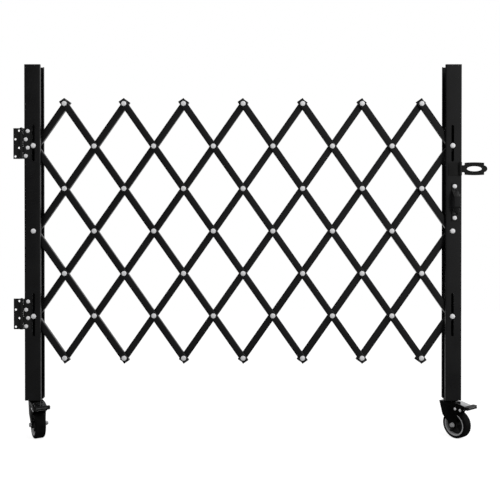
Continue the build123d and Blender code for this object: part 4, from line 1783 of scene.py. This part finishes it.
    def leg_outline(self) -> Array:
        """Outline of a fork leg, from the fork plate down to the round end at the axle.

        Returns:
            The outline, as u and v.
        """
        (back, front), (ear, high, low) = self.fork_plate, self.ear
        axle, radius = self.wheel_radius, self.boss_radius
        near, far = self.trail - radius, self.trail + radius
        corners = np.array(
            [(back, self.crown_bottom), (front, self.crown_bottom), (ear, high), (ear, low)]
            + [self.throat, (far, axle), (far, axle - radius), (near, axle - radius)]
            + [(near, axle), self.waist]
        )
        radii = np.array([2.5, 6.0, 4.0, 4.0, 9.0, 2.0, 11.5, 11.5, 1.0, 12.0])
        return rounded(corners, radii, steps=8)

    def fork(self) -> Skin:
        """Fork: two tapering legs with pressed panels, the plate between them and its crown.

        Returns:
            The fork.
        """
        outer, sunk = self.leg_start + self.leg, self.sunk
        outline, panel = self.leg_outline(), rounded(np.array(self.panel), 4.0)
        (bore, wide), tall = self.washer, self.washer_height
        washer = [(bore, -sunk), (wide, -sunk), (wide, tall - 0.6), (wide - 0.6, tall), (bore, tall)]
        parts = []
        for facing in (1, -1):
            parts.append(plate(outline, self.leg, self.side(0, 0, facing * self.leg_start, facing), 0.8))
            raised = self.side(0, 0, facing * (outer - sunk), facing)
            parts.append(plate(panel, self.panel_height, raised, 0.5))
            parts.append(lathe(np.array(washer), self.hub(facing * outer, facing), 40))
        back, front = self.fork_plate
        top = self.level((back + front) / 2, self.crown_bottom - self.leg)
        parts.append(plate(box_outline(front - back, 2 * outer, 1.0), self.leg, top, 1.4))
        radius, low, high = self.crown_radius, self.crown_bottom, self.crown_top
        crown = [(radius - 0.2, low - 1), (radius, low + 0.5), (radius, high - 0.5)]
        crown += [(radius - 0.6, high), (radius - 4.0, high), (radius - 5.0, high - 0.6)]
        parts.append(lathe(np.array(crown), self.level(), 64))
        return joined(parts)

    def foot(self) -> Skin:
        """Foot plate, its race and the weld beads that hold it between the post's flanges.

        Returns:
            The plate with its race and beads.
        """
        place = Place(self.ground() + self.plate_bottom * UPWARD, ALONG, BACKWARD, UPWARD)
        outline = box_outline(self.plate_width, self.plate_depth, 1.5)
        radius, low, high = self.race_radius, self.race_bottom, self.plate_bottom
        race = [(radius - 0.8, low), (radius, low + 0.5), (radius, high + 0.5)]
        parts = [
            plate(outline, self.plate_top - self.plate_bottom, place, 0.5),
            lathe(np.array(race), self.level(), 64),
        ]
        inset, reach = self.weld_inset, self.layout.post_depth / 2 - self.weld_depth
        start = self.ground() + self.plate_top * UPWARD + (inset - self.plate_width / 2) * ALONG
        for facing in (1, -1):
            seam = start + facing * reach * BACKWARD
            parts.append(weld(seam, ALONG, self.plate_width - 2 * inset, self.weld_size))
        return joined(parts)

    def king_pin(self) -> Skin:
        """Swivel bolt: its round head under the fork plate, its shank and its nut.

        Returns:
            The bolt and its nut.
        """
        (head, low, high), (flats, tall) = self.king_head, self.king_nut
        radius, top, edge = self.king_radius, self.plate_top + tall, 2 * BREAK
        rows = [(head - 1.0, low), (head, low + 1.0), (head, high), (radius, high)]
        rows += [(radius, top - edge), (radius - edge, top)]
        nut = plain_nut(self.level(0.0, self.plate_top), flats, (0.0, edge, tall - 0.5 - edge, tall - 0.5))
        return lathe(np.array(rows), self.level(), 32) + nut

    def axle(self) -> Skin:
        """Axle bolt: its flanged head on one side, its nut and thread on the other.

        Returns:
            The bolt and its nut.
        """
        outer, radius, side = self.leg_start + self.leg, self.axle_radius, self.nut_side
        end, tall = outer + self.axle_reach, self.axle_reach - self.axle_tail
        ridges = thread(radius, outer + tall - 0.5, end - 2 * BREAK, self.thread_count)
        rows = np.vstack([[(radius, -outer)], ridges, [(radius - 0.8, end)]])
        nut, head = self.hub(side * outer, side), self.hub(-side * outer, -side)
        flats, flange, rim = self.axle_flats, self.axle_flange, self.axle_rim
        return joined(
            [
                lathe(rows, self.hub(0.0, side), 28),
                flanged_nut(nut, flats, tall, flange, rim),
                flanged_nut(head, flats, tall - 1.0, flange, rim),
            ]
        )

    def cross_pins(self) -> Skin:
        """The two brake pins, each with a low dome on both ends.

        Returns:
            Both pins as one skin.
        """
        outer = self.leg_start + self.leg
        dome = domed(self.pin_head, self.pin_head_height, self.pin_lip) + [0, outer]
        shank = [(self.pin_radius, outer), (self.pin_radius, -outer)]
        rows = np.vstack([dome, shank, dome[::-1] * [1, -1]])
        return joined([lathe(rows, self.side(u, v), 24) for u, v in self.pins])

    def tab(self) -> Skin:
        """Grip at the end of the brake pedal: a pad under the plate and a ribbed one on it.

        Returns:
            Both pads and the ribs.
        """
        (bend_u, bend_v), (end_u, end_v) = self.pedal_path[1:]
        low, high = self.tab_heights
        middle, reach = (bend_u + end_u) / 2, end_u - bend_u
        pad = box_outline(reach, 2 * self.tab_half, 5.0, 8)
        parts = [
            plate(pad, high - low, self.level(middle, low), 1.6),
            plate(pad, bend_v - end_v + self.cover_height, self.level(middle, end_v), 0.6),
        ]
        rib = box_outline(self.grip_width, 2 * (self.tab_half - self.grip_margin), 0.7, 4)
        for index in range(1, self.grip_count + 1):
            along = bend_u + index / (self.grip_count + 1) * reach
            parts.append(plate(rib, self.grip_height, self.level(along, bend_v + 0.8), 0.4))
        return joined(parts)

    def pedal_plate(self) -> Skin:
        """Bent plate of the brake pedal.

        Formula: a rounded section carried along the pedal's path, which bends where its slope
        changes.

        Returns:
            The plate.
        """
        roll = self.roll()
        bend = rounded(np.array(self.pedal_path), self.pedal_bend, closed=False)
        path = self.ground() + np.outer(bend[:, 0], roll) + np.outer(bend[:, 1] - self.pedal / 2, UPWARD)
        section = box_outline(2 * self.pedal_half, self.pedal, 0.9, 4)
        return sweep(section, path, np.cross(roll, UPWARD), 0.5)

    def cheeks(self) -> Skin:
        """Cheeks of the brake pedal on its pivot pin, and the shoe between them.

        Returns:
            Both cheeks and the shoe.
        """
        (start_u, start_v), (bend_u, bend_v), _ = self.pedal_path
        (pivot_u, pivot_v), (shoe_u, shoe_v) = self.pins[0], self.shoe[1]
        back, under = bend_v - self.pedal, start_v - self.pedal
        cheek = np.array(
            [(pivot_u - 8, pivot_v - 8), (pivot_u - 8, pivot_v + 8), (start_u, under), (bend_u, back)]
            + [(bend_u, self.tab_heights[0] + 0.5), (shoe_u, shoe_v)]
        )
        outline = rounded(cheek, np.array([7.5, 4.0, 1.0, 1.0, 2.0, 1.0]))
        start, width = self.pedal_half - self.cheek, 2 * self.pedal_half
        sides = [self.side(0, 0, facing * start, facing) for facing in (1, -1)]
        parts = [plate(outline, self.cheek, place, 0.5) for place in sides]
        shoe = rounded(np.array(self.shoe), 1.0, steps=4)
        return joined([*parts, plate(shoe, width, self.side(0, 0, -self.pedal_half), 0.8)])

    def dress(self, shop: Workshop) -> None:
        """Builds and finishes the caster's pieces.

        Args:
            shop: Workshop that finishes the pieces.
        """
        name = self.name
        shop.add(f"{name}_foot_welded", self.foot(), CASTER_STEEL, (f"{name}_caster_plate",))
        shop.add(f"{name}_king_pin_turned", self.king_pin(), ZINC, (f"{name}_king_pin",))
        shop.add(f"{name}_fork_pressed", self.fork(), CASTER_STEEL, (f"{name}_caster_fork",))
        shop.add(f"{name}_axle_bolted", self.axle(), AXLE_STEEL, (f"{name}_wheel_axle",))
        shop.add(f"{name}_pins_riveted", self.cross_pins(), ZINC, (f"{name}_brake_pins",))
        shop.add(f"{name}_pedal_bent", self.pedal_plate(), PEDAL_STEEL, (f"{name}_brake_pedal",))
        shop.add(f"{name}_cheeks_pressed", self.cheeks(), CASTER_STEEL, body=f"{name}_brake")
        shop.add(f"{name}_tab_ribbed", self.tab(), TAB_BLACK, body=f"{name}_brake")
        shop.add(f"{name}_tyre_moulded", self.tread(), TYRE_RUBBER, (f"{name}_wheel_tyre",))
        # The web's near-black finish is painted shade of the deep-set web, not the plastic's own grey.
        shop.add(f"{name}_web_moulded_painted_shade", self.web_disc(), WEB_PLASTIC_PAINTED_SHADE, (f"{name}_wheel_hub",))
        shop.add(f"{name}_rim_rolled", self.rim_ring(), RIM_PLASTIC, body=f"{name}_wheel")


@dataclass(frozen=True)
class Studio:
    """Pale floor, soft lights and the camera.

    A direction is a unit way into the surroundings: right, behind the gate or above it. The
    pairs are the parts of it between which a light fades in.
    """

    layout: Layout
    camera_x: float = 757.7
    camera_y: float = -2264.0
    camera_z: float = 298.0
    lens: float = 50.0
    pitch: float = 0.4
    shift_y: float = -0.0453
    clip_end: float = 200.0
    ambient: float = 0.55
    glow: float = 0.85
    mirrored: float = 0.05
    mirrored_behind: float = 0.8
    mirrored_range: tuple[float, float] = (0.1, 0.6)
    floor_size: float = 6.4
    floor_diffuse: float = 0.3
    floor_dimming: float = 0.75
    sheet_right: tuple[float, float] = (-0.1, 0.12)
    sheet_behind: tuple[float, float] = (0.3, 0.8)
    room_right: tuple[float, float] = (-0.35, 0.35)
    room_ahead: tuple[float, float] = (0.0, 0.4)
    room_light: tuple[float, float] = (0.08, 0.26)
    corner_right: tuple[float, float] = (0.1, -0.2)
    corner_behind: tuple[float, float] = (0.2, 0.7)
    sky_behind: tuple[float, float] = (-0.3, 0.5)
    sky_above: tuple[float, float] = (0.2, 0.55)
    sky_least: float = 0.1
    side_right: tuple[float, float] = (0.6, 0.85)
    target: tuple[float, float, float] = (0.75, 0.0, 0.2)

    def camera(self) -> None:
        """Camera at the photograph's viewing angle."""
        data = bpy.data.cameras.new("camera")
        data.lens, data.shift_y, data.clip_end = self.lens, self.shift_y, self.clip_end
        camera = bpy.data.objects.new("camera", data)
        camera.location = Vector((self.camera_x, self.camera_y, self.camera_z)) * MM
        camera.rotation_euler = (math.radians(90 - self.pitch), 0.0, 0.0)
        bpy.context.scene.collection.objects.link(camera)
        bpy.context.scene.camera = camera

    def floor(self) -> None:
        """Pale floor, which glows a little for the camera so that only its shadows show.

        In the gate it shines only where it lies behind the gate.
        """
        half, z = self.floor_size / 2, self.layout.floor_z * MM
        corners = [(-half, -half, z), (half, -half, z), (half, half, z), (-half, half, z)]
        mesh = bpy.data.meshes.new("studio_floor")
        mesh.from_pydata(corners, [], [(0, 1, 2, 3)])
        floor = bpy.data.objects.new("studio_floor", mesh)
        bpy.context.scene.collection.objects.link(floor)
        material = bpy.data.materials.new("pale_floor")
        material.use_nodes = True
        material.node_tree.nodes.clear()
        tree = Tree(material.node_tree)
        matt, glow, both = (
            tree.add("ShaderNodeBsdfDiffuse"),
            tree.add("ShaderNodeEmission"),
            tree.add("ShaderNodeAddShader"),
        )
        path = tree.add("ShaderNodeLightPath").outputs
        dimmed = tree.times(path["Is Glossy Ray"], self.floor_diffuse * self.floor_dimming)
        tree.feed(matt.inputs["Color"], tree.less(self.floor_diffuse, dimmed))
        seen = tree.most(path["Is Camera Ray"], path["Is Transmission Ray"])
        spot = tree.add("ShaderNodeSeparateXYZ")
        tree.feed(spot.inputs[0], tree.add("ShaderNodeTexCoord").outputs["Object"])
        behind = tree.times(tree.ramp(spot.outputs["Y"], *self.mirrored_range), self.mirrored_behind)
        mirrored = tree.times(path["Is Glossy Ray"], tree.plus(behind, self.mirrored))
        tree.feed(glow.inputs["Strength"], tree.times(tree.most(seen, mirrored), self.glow))
        tree.feed(both.inputs[0], matt.outputs[0])
        tree.feed(both.inputs[1], glow.outputs[0])
        output = tree.add("ShaderNodeOutputMaterial")
        tree.feed(output.inputs["Surface"], both.outputs[0])
        mesh.materials.append(material)

    def world(self) -> None:
        """White surroundings.

        What shines in the gate is a white sheet behind it and to the right, soft light from
        above and behind, and a dim room in front, which is darker on the left. The corner behind
        it on the left is dark.
        """
        world = bpy.data.worlds.new("studio")
        bpy.context.scene.world = world
        world.use_nodes = True
        world.node_tree.nodes.clear()
        tree = Tree(world.node_tree)
        way = tree.add("ShaderNodeSeparateXYZ")
        tree.feed(way.inputs[0], tree.add("ShaderNodeTexCoord").outputs["Object"])
        right, behind, above = way.outputs["X"], way.outputs["Y"], way.outputs["Z"]
        sheet = tree.times(tree.ramp(right, *self.sheet_right), tree.ramp(behind, *self.sheet_behind))
        least, gain = self.room_light
        room = tree.plus(tree.times(tree.ramp(right, *self.room_right), gain), least)
        ahead = tree.times(room, tree.ramp(tree.times(behind, -1), *self.room_ahead))
        corner = tree.times(tree.ramp(right, *self.corner_right), tree.ramp(behind, *self.corner_behind))
        sky = tree.most(tree.less(tree.ramp(behind, *self.sky_behind), corner), self.sky_least)
        overhead = tree.times(tree.ramp(above, *self.sky_above), sky)
        soft = tree.most(sheet, ahead, tree.ramp(right, *self.side_right), overhead)
        path = tree.add("ShaderNodeLightPath").outputs
        level = tree.plus(tree.times(path["Is Glossy Ray"], tree.less(soft, self.ambient)), self.ambient)
        shine = tree.most(path["Is Camera Ray"], path["Is Transmission Ray"], level)
        white = tree.add("ShaderNodeBackground")
        white.inputs["Color"].default_value = (1, 1, 1, 1)
        tree.feed(white.inputs["Strength"], shine)
        output = tree.add("ShaderNodeOutputWorld")
        tree.feed(output.inputs["Surface"], white.outputs[0])

    def lamp(self, name: str, spot: tuple[float, float, float], power: float, size: float) -> None:
        """Adds one soft lamp, aimed at the middle of the gate.

        Args:
            name: Name of the lamp.
            spot: Where it hangs, in metres.
            power: Its power in watts.
            size: Its side in metres.
        """
        data = bpy.data.lights.new(name, "AREA")
        data.energy, data.size = power, size
        lamp = bpy.data.objects.new(name, data)
        lamp.visible_glossy = False
        lamp.location = Vector(spot)
        lamp.rotation_euler = (Vector(self.target) - lamp.location).to_track_quat("-Z", "Y").to_euler()
        bpy.context.scene.collection.objects.link(lamp)

    def set_up(self) -> None:
        """Sets up the whole studio."""
        view = bpy.context.scene.view_settings
        view.view_transform = "Standard"
        self.camera()
        self.floor()
        self.world()
        self.lamp("key_lamp", (3.6, -2.6, 2.6), power=110.0, size=1.8)
        self.lamp("fill_lamp", (-2.4, -3.2, 1.8), power=35.0, size=2.2)


def main() -> None:
    """Builds the gate's sub-assemblies in order and sets up the studio."""
    logging.basicConfig(level=logging.INFO, format="%(message)s")
    shop = Workshop()
    layout = Layout()
    lattice = Lattice(layout)
    casters = [
        Caster(layout, "left", layout.left_face_x + layout.caster_inset, heading=28.0, nut_side=-1),
        Caster(layout, "right", layout.right_face_x - layout.caster_inset, heading=37.0, nut_side=1),
    ]
    for assembly in (
        Posts(layout),
        Hinges(),
        lattice,
        PivotHardware(lattice),
        PullHandle(layout),
        Hasp(layout),
        *casters,
    ):
        assembly.dress(shop)
    Studio(layout).set_up()


if __name__ == "__main__":
    main()
